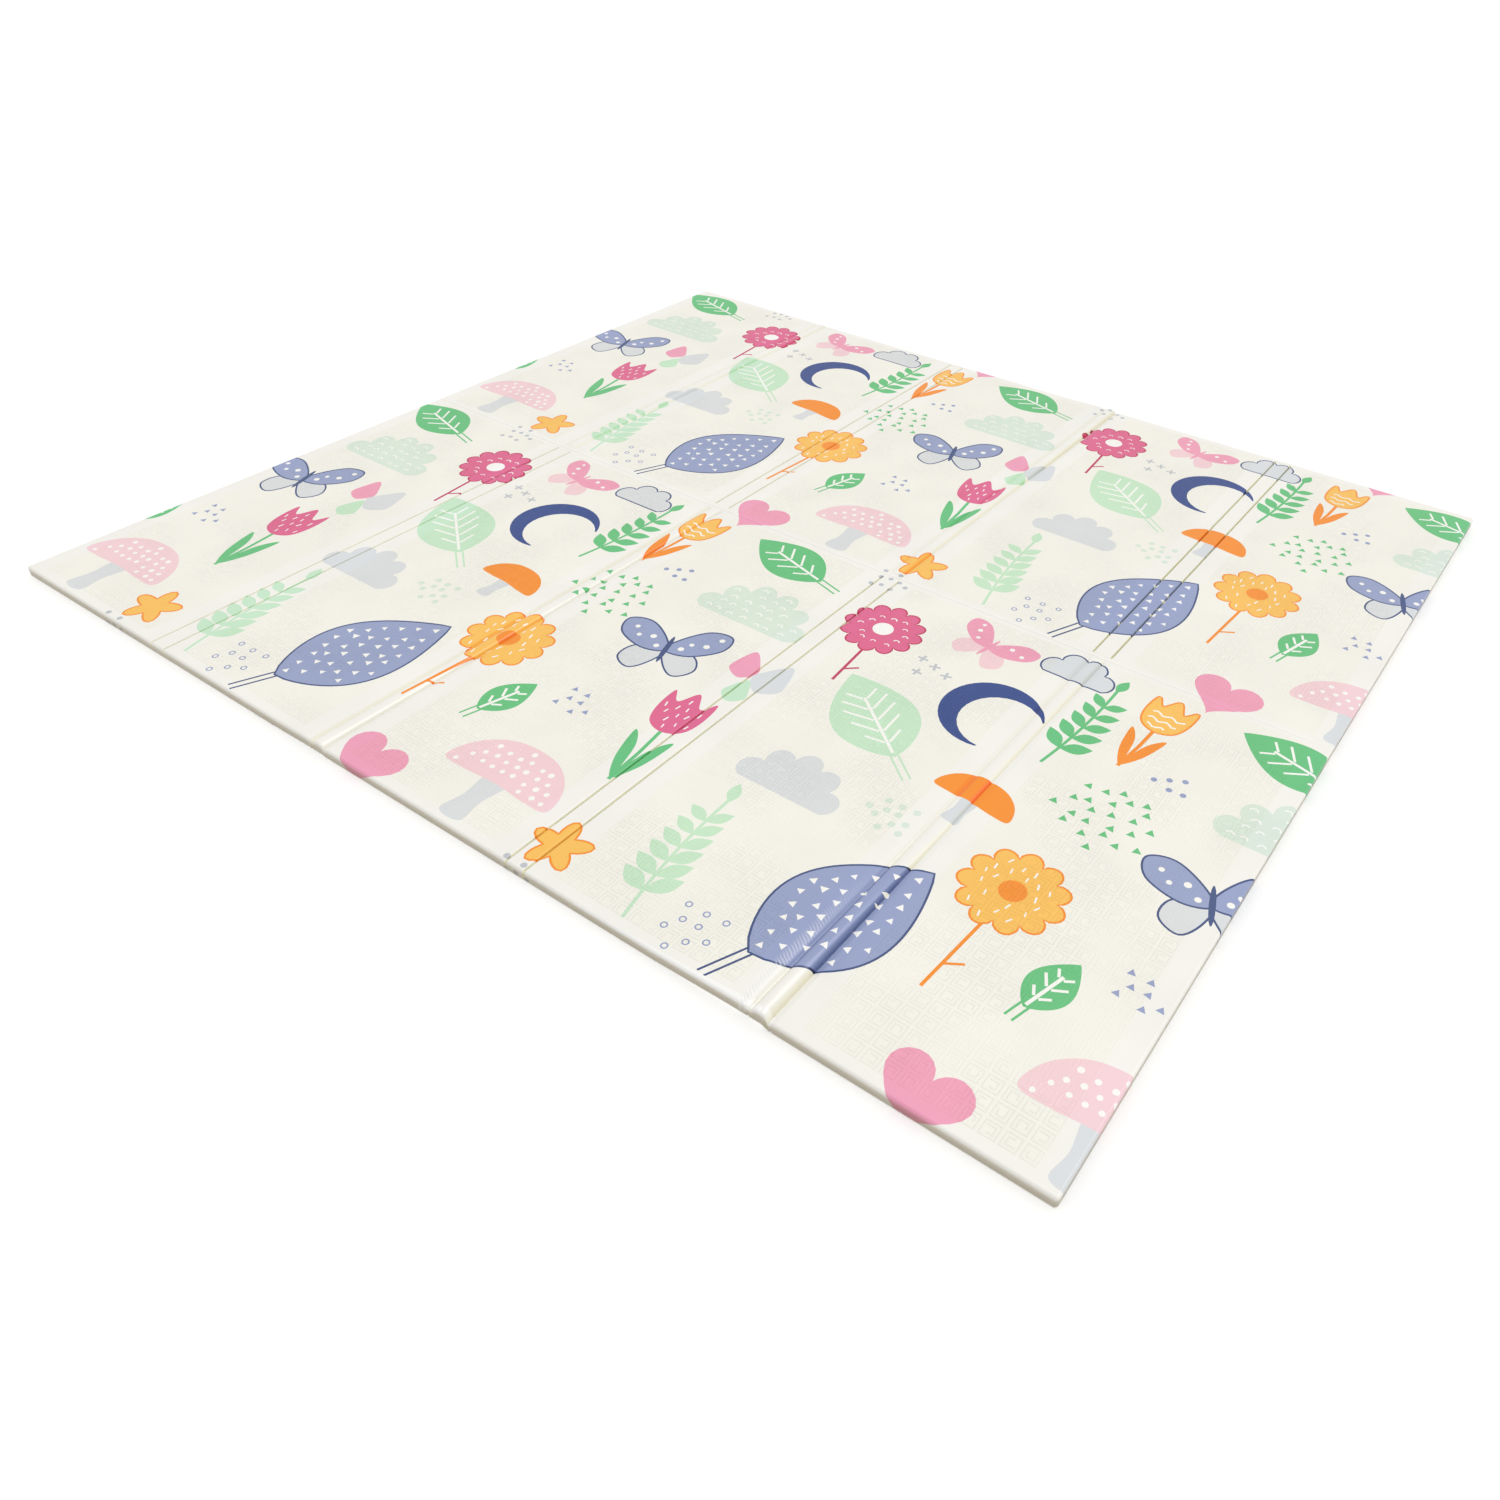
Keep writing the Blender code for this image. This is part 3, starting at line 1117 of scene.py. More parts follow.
@dataclass(frozen=True)
class PrintDesign:
    """The repeating print of the film: plain leaves, flowers, clouds and stars."""

    repeat_x: float = 0.940
    repeat_y: float = 0.900
    shift_x: float = -0.985
    shift_y: float = -0.910
    # bare white film on the front edge, partly a painted highlight on the rim
    bare_and_sheen_widths: tuple[Pair, ...] = (
        (-0.300, -0.003), (-0.180, 0.001), (-0.080, 0.003), (-0.035, 0.006), (0.0165, 0.007),
    )
    placed: tuple[Placed, ...] = (
        Placed(Mushroom(0.205, Ink.BLUSH, None, Filling.DOTS, 0.021, 0.009, 3), 105, 112),
        Placed(Star(0.092, Ink.AMBER, Ink.ORANGE), 268, 72, 12),
        Placed(Sprig(0.250, Ink.MINT, pairs=6), 392, 150, 14),
        Placed(Scatter(0.090, Ink.SLATE, mark_size=0.011, count=9, hollow=True), 500, 66),
        Placed(Leaf(0.320, Ink.SLATE, Ink.SLATE_LINE, Filling.TRIANGLES, 0.027, 0.0105, 4, breadth=0.52),
               632, 180, -24),
        Placed(Heart(0.120, Ink.PINK), 862, 36, -8),
        Placed(Scatter(0.070, Ink.SLATE, mark=Filling.TRIANGLES, mark_size=0.011, count=7), 62, 304),
        Placed(Tulip(0.230, Ink.ROSE, None, Filling.DASHES, 0.020, 0.008, 5), 214, 322, 6),
        Placed(Cloud(0.180, Ink.GREY), 436, 376),
        Placed(Scatter(0.076, Ink.SAGE, mark_size=0.012, count=11), 590, 388),
        Placed(Daisy(0.150, Ink.AMBER, Ink.ORANGE, Filling.DASHES, 0.021, 0.008, 6, petals=11, stem=0.85,
                     heart=Ink.ORANGE), 796, 362, -4),
        Placed(VeinedLeaf(0.120, Ink.GREEN, breadth=0.52, veins=3), 908, 246, -16),
        Placed(Butterfly(0.190, Ink.SLATE, Ink.SLATE_LINE, Filling.DOTS, 0.026, 0.010, 7), 76, 500, 18),
        Placed(Drops(0.135, Ink.PINK), 238, 516),
        Placed(VeinedLeaf(0.250, Ink.MINT, breadth=0.56), 456, 548, 52),
        Placed(Mushroom(0.130, Ink.ORANGE), 664, 480, -6),
        Placed(Scatter(0.150, Ink.GREEN, mark=Filling.TRIANGLES, mark_size=0.013, count=24, seed=2),
               832, 566),
        Placed(Cloud(0.225, Ink.SAGE, None, Filling.ARCS, 0.026, 0.011, 8, puffs=6), 126, 688),
        Placed(Daisy(0.140, Ink.ROSE, Ink.CRIMSON, Filling.ARCS, 0.021, 0.009, 9, petals=12, stem=0.7),
               326, 760, 5),
        Placed(Scatter(0.070, Ink.ASH, mark=Filling.CROSSES, mark_size=0.016, count=4, seed=4), 452, 708),
        Placed(Moon(0.165, Ink.NAVY), 588, 668, -28),
        Placed(Sprig(0.230, Ink.GREEN, bend=-0.10), 722, 728, -10),
        Placed(Scatter(0.060, Ink.SLATE, mark_size=0.010, count=5, seed=6), 880, 686),
        Placed(VeinedLeaf(0.215, Ink.GREEN, breadth=0.50, veins=4), 84, 836, 74),
        Placed(Scatter(0.076, Ink.ASH, mark_size=0.010, count=9, seed=5), 252, 890),
        Placed(Butterfly(0.150, Ink.PINK, None, Filling.DOTS, 0.022, 0.008, 10, second=Ink.BLUSH),
               496, 826, -14),
        Placed(Cloud(0.130, Ink.GREY, Ink.SLATE_LINE, puffs=4), 648, 860),
        Placed(Tulip(0.200, Ink.AMBER, Ink.ORANGE, Filling.WAVES, 0.017, 0.012, 11, stem_ink=Ink.ORANGE),
               806, 776, -5),
    )

    def patches(self, form: SheetForm) -> list[Patch]:
        """Every patch that reaches the film, in the order of printing.

        Args:
            form: The sheet that the film covers.

        Returns:
            The patches, on the flat film.
        """
        reach = np.array([form.half_width, form.half_length]) + form.rim_run
        across = math.ceil(form.width / self.repeat_x) + 1
        along = math.ceil(form.length / self.repeat_y) + 1
        made = []
        for placed in self.placed:
            drawn = [p.moved(placed.x * MM, placed.y * MM, placed.turn) for p in placed.motif.patches()]
            for column in range(-1, across):
                for row in range(-1, along):
                    shift = np.array([self.shift_x + column * self.repeat_x,
                                      self.shift_y + row * self.repeat_y])
                    for patch in drawn:
                        outline = patch.outline + shift
                        if (outline.max(axis=0) > -reach).all() and (outline.min(axis=0) < reach).all():
                            made.append(Patch(outline, patch.ink))
        # last, the bare white band on the front edge, partly a painted highlight on the rim
        return [*made, self.bare_and_sheen_band(form)]

    def bare_and_sheen_band(self, form: SheetForm) -> Patch:
        """Bare white film on the front edge, wider towards the last hinge, which also stands in for a
        painted highlight on the rounded rim there.
        """
        middle = form.hinge_middle(form.panel_count - 1)
        flat_end = -form.half_length + form.top_edge
        inner = [(middle + offset, flat_end + width) for offset, width in self.bare_and_sheen_widths]
        outer = [(x, flat_end - form.arc_run) for x in (inner[0][0], inner[-1][0])]
        return Patch(np.array([*outer, *reversed(inner)]), Ink.WHITE)


def new_object(name: str, data: bpy.types.ID) -> bpy.types.Object:
    """Make an object from its data and put it in the scene."""
    made = bpy.data.objects.new(name, data)
    bpy.context.scene.collection.objects.link(made)
    return made


def new_material(name: str) -> tuple[bpy.types.Material, bpy.types.Node]:
    """Make a material, and give it with its shader."""
    material = bpy.data.materials.new(name)
    material.use_nodes = True
    return material, material.node_tree.nodes["Principled BSDF"]


@dataclass
class NodeSketch:
    """Short ways to add nodes to a tree."""

    tree: bpy.types.NodeTree

    def add(self, kind: str, **settings: object) -> bpy.types.Node:
        """Add a node and set its properties."""
        node = self.tree.nodes.new(kind)
        for name, value in settings.items():
            setattr(node, name, value)
        return node

    def join(self, source: Socket, target: Socket) -> None:
        """Link two sockets."""
        self.tree.links.new(source, target)

    def give(self, target: Socket, value: Socket | float | Colour) -> None:
        """Link a socket to an input, or set the input to a plain value."""
        if isinstance(value, Socket):
            self.join(value, target)
        else:
            target.default_value = value

    def math(self, operation: str, *values: Socket | float, clamp: bool = False) -> Socket:
        """Add a Math node.

        Args:
            operation: The Math node's operation.
            values: Sockets or plain numbers for its inputs.
            clamp: Whether to hold the result between 0 and 1.

        Returns:
            The node's output.
        """
        node = self.add("ShaderNodeMath", operation=operation, use_clamp=clamp)
        for target, value in zip(node.inputs, values):
            self.give(target, value)
        return node.outputs[0]

    def mix(self, blend: str, factor: Socket | float, first: Socket, second: Socket | Colour) -> Socket:
        """Blend two colours.

        Args:
            blend: How the second colour acts on the first.
            factor: How much it acts, from 0 to 1.
            first: The first colour.
            second: The second colour.

        Returns:
            The blended colour.
        """
        node = self.add("ShaderNodeMix", data_type="RGBA", blend_type=blend)
        for name, value in (("Factor", factor), ("A", first), ("B", second)):
            self.give(node.inputs[name], value)
        return node.outputs["Result"]

    def ease(self, value: Socket, low: float, high: float, start: float = 0.0, end: float = 1.0) -> Socket:
        """Ease a value from one number to another.

        Args:
            value: The value.
            low: The value at which the easing starts.
            high: The value at which it ends.
            start: The result at low.
            end: The result at high.

        Returns:
            The eased value.
        """
        node = self.add("ShaderNodeMapRange", interpolation_type="SMOOTHSTEP")
        self.join(value, node.inputs["Value"])
        sizes = {"From Min": low, "From Max": high, "To Min": start, "To Max": end}
        for name, size in sizes.items():
            node.inputs[name].default_value = size
        return node.outputs["Result"]

    def noise(self, vector: Socket, scale: float, detail: float) -> Socket:
        """Add a Noise Texture and give its plain value."""
        node = self.add("ShaderNodeTexNoise")
        self.join(vector, node.inputs["Vector"])
        node.inputs["Scale"].default_value = scale
        node.inputs["Detail"].default_value = detail
        return node.outputs[0]

    def bump(self, height: Socket, distance: float, normal: Socket | None = None) -> Socket:
        """Raise the surface by a height, over an earlier normal.

        Args:
            height: The height, from 0 to 1.
            distance: What a height of 1 stands for, in metres.
            normal: The earlier normal, or None for the surface's own.

        Returns:
            The normal.
        """
        node = self.add("ShaderNodeBump")
        node.inputs["Strength"].default_value = 1.0
        node.inputs["Distance"].default_value = distance
        self.join(height, node.inputs["Height"])
        if normal is not None:
            self.join(normal, node.inputs["Normal"])
        return node.outputs["Normal"]

    def parts(self, vector: Socket) -> list[Socket]:
        """Split a vector into its X, Y and Z."""
        node = self.add("ShaderNodeSeparateXYZ")
        self.join(vector, node.inputs[0])
        return list(node.outputs)

    def read(self, attribute: str, output: str) -> Socket:
        """Read one of the mesh's own attributes."""
        node = self.add("ShaderNodeAttribute", attribute_type="GEOMETRY", attribute_name=attribute)
        return node.outputs[output]


@dataclass
class FilmSketch(NodeSketch):
    """A sketch of the film's material, which knows the sheet and the place on it."""

    form: SheetForm
    place: Socket = field(init=False)
    x: Socket = field(init=False)
    y: Socket = field(init=False)

    def __post_init__(self) -> None:
        """Read the surface's own coordinates."""
        self.place = self.add("ShaderNodeTexCoord").outputs["Object"]
        self.x, self.y, _ = self.parts(self.place)


@dataclass(frozen=True)
class FilmFinish:
    """Soft printed film with a pressed pattern of small squares.

    A noise is given by its scale and detail, and a window by the two values between
    which something is eased.
    """

    name: str = "printed_film"
    refraction: float = 1.46
    panel_roughness: Pair = (0.40, 0.52)
    roughness_noise: Pair = (5.0, 3.0)
    hinge_roughness: float = 0.34
    hinge_reach: Pair = (0.020, 0.034)
    wear_window: Pair = (0.3, 0.7)
    tone_noise: Pair = (9.0, 4.0)
    tones: Pair = (0.975, 1.01)
    pressed_tint: Colour = (1.0, 0.994, 0.962, 1.0)
    # painted sheen on the crests of the ribs beside the beads
    rib_sheen_tint: Colour = (0.80, 0.79, 0.82, 1.0)
    rib_sheen_share: float = 0.42
    block_pitch: float = 0.0256
    block_columns: int = 12
    block_rows: int = 34
    block_height: float = 0.00042
    block_margin: float = 0.0175
    field_softness: float = 0.2
    faint_share: float = 0.3
    faint_noise: Pair = (7.0, 1.0)
    faint_window: Pair = (0.38, 0.62)
    grain_height: float = 0.00006
    grain_noise: Pair = (700.0, 2.0)
    rib_height: float = 0.00035
    rib_pitch: float = 0.0045
    rib_slant: float = 0.67
    rib_noise: Pair = (90.0, 2.0)
    rib_wander: float = 6.0
    line_half_width: float = 0.035
    line_softness: Pair = (0.4, 1.4)
    square_reach: float = 0.385
    hook_reach: float = 0.195
    bend_window: Pair = (-0.13, -0.09)
    hook_start: Pair = (-0.28, -0.24)
    hook_end: Pair = (0.16, 0.20)
    panel_stride: float = 37.0
    far_stride: float = 71.0

    def build(self, form: SheetForm) -> bpy.types.Material:
        """Make the material.

        Args:
            form: The sheet, whose panels the pressed squares follow.

        Returns:
            The material.
        """
        material, shader = new_material(self.name)
        sketch = FilmSketch(material.node_tree, form)
        shader.inputs["IOR"].default_value = self.refraction
        column, row, inside_field = self.field(sketch)
        ribs = self.ribs(sketch)
        sketch.join(self.colour(sketch, inside_field, ribs), shader.inputs["Base Color"])
        sketch.join(self.roughness(sketch), shader.inputs["Roughness"])
        keys = sketch.math("MULTIPLY", self.keys(sketch, column, row), inside_field)
        faint = sketch.noise(sketch.place, *self.faint_noise)
        uneven = sketch.ease(faint, *self.faint_window, self.faint_share, 1.0)
        normal = sketch.bump(sketch.math("MULTIPLY", keys, uneven), self.block_height)
        normal = sketch.bump(ribs, self.rib_height, normal)
        grain = sketch.noise(sketch.place, *self.grain_noise)
        sketch.join(sketch.bump(grain, self.grain_height, normal), shader.inputs["Normal"])
        return material

    def colour(self, sketch: FilmSketch, inside_field: Socket, ribs: Socket) -> Socket:
        """The ink, warmer where the film is pressed, with a painted sheen on its ribs' crests, and slightly
        uneven.

        Args:
            sketch: The tree to add to.
            inside_field: 1 where the film has its pressed pattern.
            ribs: Height of the ribs beside the beads.

        Returns:
            The colour.
        """
        colour = sketch.mix("MULTIPLY", inside_field, sketch.read("ink", "Color"), self.pressed_tint)
        # painted sheen: paler and greyer on the crests of the ribs
        gathered = sketch.math("MULTIPLY", ribs, self.rib_sheen_share, clamp=True)
        colour = sketch.mix("MIX", gathered, colour, self.rib_sheen_tint)
        wear = sketch.noise(sketch.place, *self.tone_noise)
        return sketch.mix("MULTIPLY", 1.0, colour, sketch.ease(wear, *self.wear_window, *self.tones))

    def roughness(self, sketch: FilmSketch) -> Socket:
        """Roughness: uneven over the panels, and smoother along the hinges."""
        pitch = sketch.form.panel_pitch
        wear = sketch.noise(sketch.place, *self.roughness_noise)
        worn = sketch.ease(wear, *self.wear_window, *self.panel_roughness)
        from_first = sketch.math("SUBTRACT", sketch.x, sketch.form.hinge_middle(1) - pitch / 2)
        in_pitch = sketch.math("FLOORED_MODULO", from_first, pitch)
        distance = sketch.math("ABSOLUTE", sketch.math("SUBTRACT", in_pitch, pitch / 2))
        smooth = sketch.ease(distance, *self.hinge_reach, 1.0, 0.0)
        less = sketch.math("MULTIPLY", smooth, sketch.math("SUBTRACT", worn, self.hinge_roughness))
        return sketch.math("SUBTRACT", worn, less)

    def ribs(self, sketch: FilmSketch) -> Socket:
        """Height of the slanting ribs where the film is gathered beside a bead."""
        slanted = sketch.math("ADD", sketch.y, sketch.math("MULTIPLY", sketch.x, self.rib_slant))
        step = self.rib_pitch * math.hypot(1, self.rib_slant)
        turns = sketch.math("MULTIPLY", slanted, 2 * math.pi / step)
        wander = sketch.math("MULTIPLY", sketch.noise(sketch.place, *self.rib_noise), self.rib_wander)
        wave = sketch.math("SINE", sketch.math("ADD", turns, wander))
        raised = sketch.math("MULTIPLY_ADD", wave, 0.5, 0.5)
        return sketch.math("MULTIPLY", raised, sketch.read("gather", "Fac"))

    def field(self, sketch: FilmSketch) -> tuple[Socket, Socket, Socket]:
        """Count the pressed squares across and along each half panel.

        Args:
            sketch: The tree to add to.

        Returns:
            The column, the row, and a soft 1 inside the pressed field.
        """
        form, pitch, soft = sketch.form, self.block_pitch, self.field_softness
        margin = (form.panel_width - self.block_columns * pitch) / 2
        first_row = form.half_length - self.block_margin - self.block_rows * pitch
        from_left = sketch.math("ADD", sketch.x, form.half_width)
        in_panel = sketch.math("FLOORED_MODULO", from_left, form.panel_pitch)
        column = sketch.math("DIVIDE", sketch.math("SUBTRACT", in_panel, margin), pitch)
        from_crease = sketch.math("ABSOLUTE", sketch.y)
        row = sketch.math("DIVIDE", sketch.math("SUBTRACT", from_crease, first_row), pitch)
        shares = []
        for value, count in ((column, self.block_columns), (row, self.block_rows)):
            shares.append(sketch.ease(value, -soft, soft))
            shares.append(sketch.ease(value, count - soft, count + soft, 1.0, 0.0))
        inside_field = shares[0]
        for share in shares[1:]:
            inside_field = sketch.math("MULTIPLY", inside_field, share)
        return column, row, inside_field

    def line(self, sketch: FilmSketch, value: Socket, middle: float) -> Socket:
        """Tell where a pressed line runs.

        Args:
            sketch: The tree to add to.
            value: A distance across the line.
            middle: The distance at the line's middle.

        Returns:
            1 on the line, and 0 off it, with soft sides.
        """
        away = sketch.math("ABSOLUTE", sketch.math("SUBTRACT", value, middle))
        near, far = (self.line_half_width * share for share in self.line_softness)
        return sketch.ease(away, near, far, 1.0, 0.0)

    def quarter_turn(self, sketch: FilmSketch, column: Socket, row: Socket) -> Socket:
        """An angle of 0 to 3 quarter turns, picked by chance for each square.

        Args:
            sketch: The tree to add to.
            column: Column of the square.
            row: Row of the square.

        Returns:
            The angle.
        """
        from_left = sketch.math("ADD", sketch.x, sketch.form.half_width)
        panel = sketch.math("FLOOR", sketch.math("DIVIDE", from_left, sketch.form.panel_pitch))
        far = sketch.math("GREATER_THAN", sketch.y, 0.0)
        cell = sketch.add("ShaderNodeCombineXYZ")
        for name, count, group, stride in (
            ("X", column, panel, self.panel_stride),
            ("Y", row, far, self.far_stride),
        ):
            number = sketch.math("ADD", sketch.math("FLOOR", count), sketch.math("MULTIPLY", group, stride))
            sketch.join(number, cell.inputs[name])
        pick = sketch.add("ShaderNodeTexWhiteNoise", noise_dimensions="2D")
        sketch.join(cell.outputs[0], pick.inputs["Vector"])
        quarter = sketch.math("FLOOR", sketch.math("MULTIPLY", pick.outputs["Value"], 4.0))
        return sketch.math("MULTIPLY", quarter, math.pi / 2)

    def keys(self, sketch: FilmSketch, column: Socket, row: Socket) -> Socket:
        """Height of the pressed pattern: a square with a hooked line inside, turned by chance.

        Args:
            sketch: The tree to add to.
            column: Column of the square.
            row: Row of the square.

        Returns:
            The height, from 0 to 1.
        """
        shares = (sketch.math("FRACT", value) for value in (column, row))
        across, along = (sketch.math("SUBTRACT", share, 0.5) for share in shares)
        turn = self.quarter_turn(sketch, column, row)
        cos, sin = sketch.math("COSINE", turn), sketch.math("SINE", turn)
        a_parts = sketch.math("MULTIPLY", across, cos), sketch.math("MULTIPLY", along, sin)
        b_parts = sketch.math("MULTIPLY", across, sin), sketch.math("MULTIPLY", along, cos)
        a, b = sketch.math("SUBTRACT", *a_parts), sketch.math("ADD", *b_parts)
        reach = sketch.math("MAXIMUM", sketch.math("ABSOLUTE", a), sketch.math("ABSOLUTE", b))
        square = self.line(sketch, reach, self.square_reach)
        bend = sketch.math("MULTIPLY", self.line(sketch, reach, self.hook_reach),
                           sketch.ease(a, *self.bend_window))
        hook = sketch.math("MULTIPLY", self.line(sketch, b, -self.hook_reach),
                           sketch.ease(a, *self.hook_start))
        hook = sketch.math("MULTIPLY", hook, sketch.ease(a, *self.hook_end, 1.0, 0.0))
        return sketch.math("MAXIMUM", square, sketch.math("MAXIMUM", bend, hook))


@dataclass(frozen=True)
class SeamFinish:
    """Bare welded film."""

    name: str = "film_seam"
    colour: Colour = (0.60, 0.57, 0.49, 1.0)
    roughness: float = 0.45
    grain_noise: Pair = (500.0, 2.0)
    grain_height: float = 0.00008

    def build(self) -> bpy.types.Material:
        """Make the material."""
        material, shader = new_material(self.name)
        sketch = NodeSketch(material.node_tree)
        shader.inputs["Base Color"].default_value = self.colour
        shader.inputs["Roughness"].default_value = self.roughness
        place = sketch.add("ShaderNodeTexCoord").outputs["Object"]
        grain = sketch.noise(place, *self.grain_noise)
        sketch.join(sketch.bump(grain, self.grain_height), shader.inputs["Normal"])
        return material


@dataclass
class FlatNet:
    """Points, lines and faces of a flat drawing, made into triangles."""

    points: list[Pair] = field(default_factory=list)
    lines: list[tuple[int, int]] = field(default_factory=list)
    faces: list[list[int]] = field(default_factory=list)
    grain: float = 0.000004

    def add_points(self, places: Points) -> list[int]:
        """Add points and give their numbers."""
        first = len(self.points)
        self.points.extend((float(x), float(y)) for x, y in places)
        return list(range(first, len(self.points)))

    def add_face(self, outline: Points) -> None:
        """Add a closed area."""
        self.faces.append(self.add_points(outline))

    def add_loop(self, outline: Points) -> None:
        """Add a closed line."""
        numbers = self.add_points(outline)
        self.lines.extend(zip(numbers, numbers[1:] + numbers[:1]))

    def add_line(self, path: Points) -> None:
        """Add an open line."""
        numbers = self.add_points(path)
        self.lines.extend(zip(numbers, numbers[1:]))

    def triangles(self) -> tuple[Points, Points, list[int], list[list[int]]]:
        """Cut the drawing into triangles along all its lines.

        Returns:
            The points, the triangles inside the first face, the number of the
            last face over each triangle, and the given points at each point.
        """
        scale = 1 / MM
        places = [Vector((x * scale, y * scale)) for x, y in self.points]
        made = delaunay_2d_cdt(places, self.lines, self.faces, 1, self.grain * scale, True)
        points = np.array([(p.x, p.y) for p in made[0]]) * MM
        kept, top = [], []
        for triangle, owners in zip(made[2], made[5]):
            if 0 in owners and len(triangle) == 3:
                kept.append(triangle)
                top.append(max(owners))
        return points, np.array(kept), top, [list(given) for given in made[3]]


@dataclass(frozen=True)
class FilmCut:
    """The film's flat pattern: its outline, its print and the lines that its shape needs.

    Offsets are measured from the middle of a hinge, and distances in from the edge.
    """

    form: SheetForm
    design: PrintDesign
    overrun: float = 0.06
    grid_step: float = 0.095
    grid_shares: Series = (0.2, 0.4, 0.6, 0.8)
    row_step: float = 0.024
    row_span: Pair = (-0.066, 0.033)
    row_margin: float = 0.01
    lip_shares: Series = (0.33, 0.66, 1.0)
    crease_shares: Series = (0.7, 1.0, 1.4, 2.0)
    rim_shares: Series = (0.25, 0.5, 0.75, 1.0)
    crown_offsets: Series = (
        -0.0085, -0.0070, -0.0055, -0.0037, -0.0018,
        0.0018, 0.0036, 0.0052, 0.0067, 0.0080, 0.0091,
    )
    beside_offsets: Series = (
        -0.066, -0.058, -0.052, -0.046, -0.042, -0.039, -0.036, -0.033, -0.030, -0.027, -0.024,
        -0.0225, -0.0205, 0.0200, 0.0215, 0.023, 0.026, 0.030,
    )
    crumple_rows: Series = (0.0055, 0.0075, 0.0095, 0.012, 0.015)
    crumple_span: Pair = (-0.040, 0.015)
    crumple_lines: Series = (-0.0320, -0.0310, -0.0290, -0.0280, -0.0185, -0.0175, -0.0160)
    crumple_depth: float = 0.018
    under_columns: int = 38
    under_rows: int = 16
    under_inset: float = 0.010

    def cut_steps(self) -> Series:
        """Offsets of the lines that a cut's own section needs."""
        half_cut, half_slit = self.form.cut_width / 2, self.form.slit_width / 2
        return (-half_cut, -half_slit, 0.0, half_slit, half_cut)

    def bead_lines(self) -> list[float]:
        """Offsets of the lines that a bead and its folds need."""
        foot_width = self.form.foot_half_width
        steps = (-foot_width, -foot_width / 2, 0.0, foot_width / 2, foot_width)
        offsets = {0.0, *self.crown_offsets, *self.beside_offsets}
        for side in (-1, 1):
            offsets.update(side * self.form.half_strip + step for step in self.cut_steps())
            offsets.update(side * self.form.bead_half_width + step for step in steps)
        return sorted({round(offset, 6) for offset in offsets})

    def groove_lines(self) -> list[float]:
        """Offsets of the lines that a hinge cut from above needs."""
        lip = self.form.cut_width / 2
        lips = [lip + share * self.form.lip_run for share in self.lip_shares]
        steps = (*self.cut_steps(), *lips, *(-step for step in lips))
        feet = (-self.form.half_strip, self.form.half_strip)
        return sorted({round(foot + step, 6) for foot in feet for step in steps})

    def half_lines(self) -> list[tuple[float, Half]]:
        """Every line along the sheet within one half, by X and half."""
        form = self.form
        made = []
        for half in Half:
            for number in form.hinges:
                middle = form.hinge_middle(number)
                has_bead = form.bead_of(number, half) is not None
                for offset in self.bead_lines() if has_bead else self.groove_lines():
                    made.append((middle + offset, half))
        return made

    def crease_rows(self) -> list[float]:
        """Y of the lines across the sheet at its crease."""
        form = self.form
        beside = [form.crease_half_width * share for share in self.crease_shares]
        steps = (form.slit_width / 2, form.cut_width / 2, *beside,
                 form.cut_end - form.cut_end_slope, form.cut_end)
        return sorted({0.0, *(side * step for side in (-1, 1) for step in steps)})

    def net(self) -> tuple[FlatNet, list[Ink]]:
        """Draw the flat film with its print and the lines that its shape needs."""
        form = self.form
        net = FlatNet()
        net.add_face(form.contour(form.rim_run))
        inks = [Ink.IVORY]
        for patch in self.design.patches(form):
            net.add_face(patch.outline)
            inks.append(patch.ink)
        arc, side = form.arc_run, form.side_run
        down_arc = [arc * share for share in self.rim_shares]
        down_side = [arc + side * share for share in self.rim_shares]
        for run in (0.0, *down_arc, *down_side, (arc + side + form.rim_run) / 2):
            net.add_loop(form.contour(run))
        far_x, far_y = form.half_width + self.overrun, form.half_length + self.overrun
        crease_end = form.cut_end - form.cut_end_slope
        for x, half in self.half_lines():
            net.add_line(np.array([(x, half.value * crease_end), (x, half.value * far_y)]))
        for y in self.crease_rows():
            net.add_line(np.array([(-far_x, y), (far_x, y)]))
        self.add_grid(net, far_x, far_y)
        self.add_crumple(net)
        return net, inks

    def add_grid(self, net: FlatNet, far_x: float, far_y: float) -> None:
        """Add the wide grid over the panels, and short rows beside the beads.

        Args:
            net: The drawing to add to.
            far_x: Where the grid's lines end across the sheet.
            far_y: Where they end along it.
        """
        form = self.form
        for number in range(form.panel_count):
            left = -form.half_width + number * form.panel_pitch
            for share in self.grid_shares:
                x = left + share * form.panel_width
                net.add_line(np.array([(x, -far_y), (x, far_y)]))
        steps = math.ceil((form.half_length - form.cut_end) / self.grid_step)
        for half in Half:
            for step in range(1, steps):
                y = half.value * (form.cut_end + (form.half_length - form.cut_end) * step / steps)
                net.add_line(np.array([(-far_x, y), (far_x, y)]))
        for bead in form.beads:
            middle = form.hinge_middle(bead.hinge)
            first, last = form.cut_end + self.row_step / 2, form.half_length - self.row_margin
            for y in np.arange(first, last, self.row_step) * bead.half.value:
                net.add_line(np.array([(middle + offset, y) for offset in self.row_span]))

    def add_crumple(self, net: FlatNet) -> None:
        """Add close lines where the film is crumpled at the highest bead's end."""
        form = self.form
        bead = form.beads[-1]
        middle = form.hinge_middle(bead.hinge)
        for distance in self.crumple_rows:
            y = bead.half.value * (form.half_length - distance)
            net.add_line(np.array([(middle + offset, y) for offset in self.crumple_span]))
        ends = [bead.half.value * (form.half_length + past) for past in (-self.crumple_depth, form.rim_run)]
        for offset in self.crumple_lines:
            net.add_line(np.array([(middle + offset, y) for y in ends]))

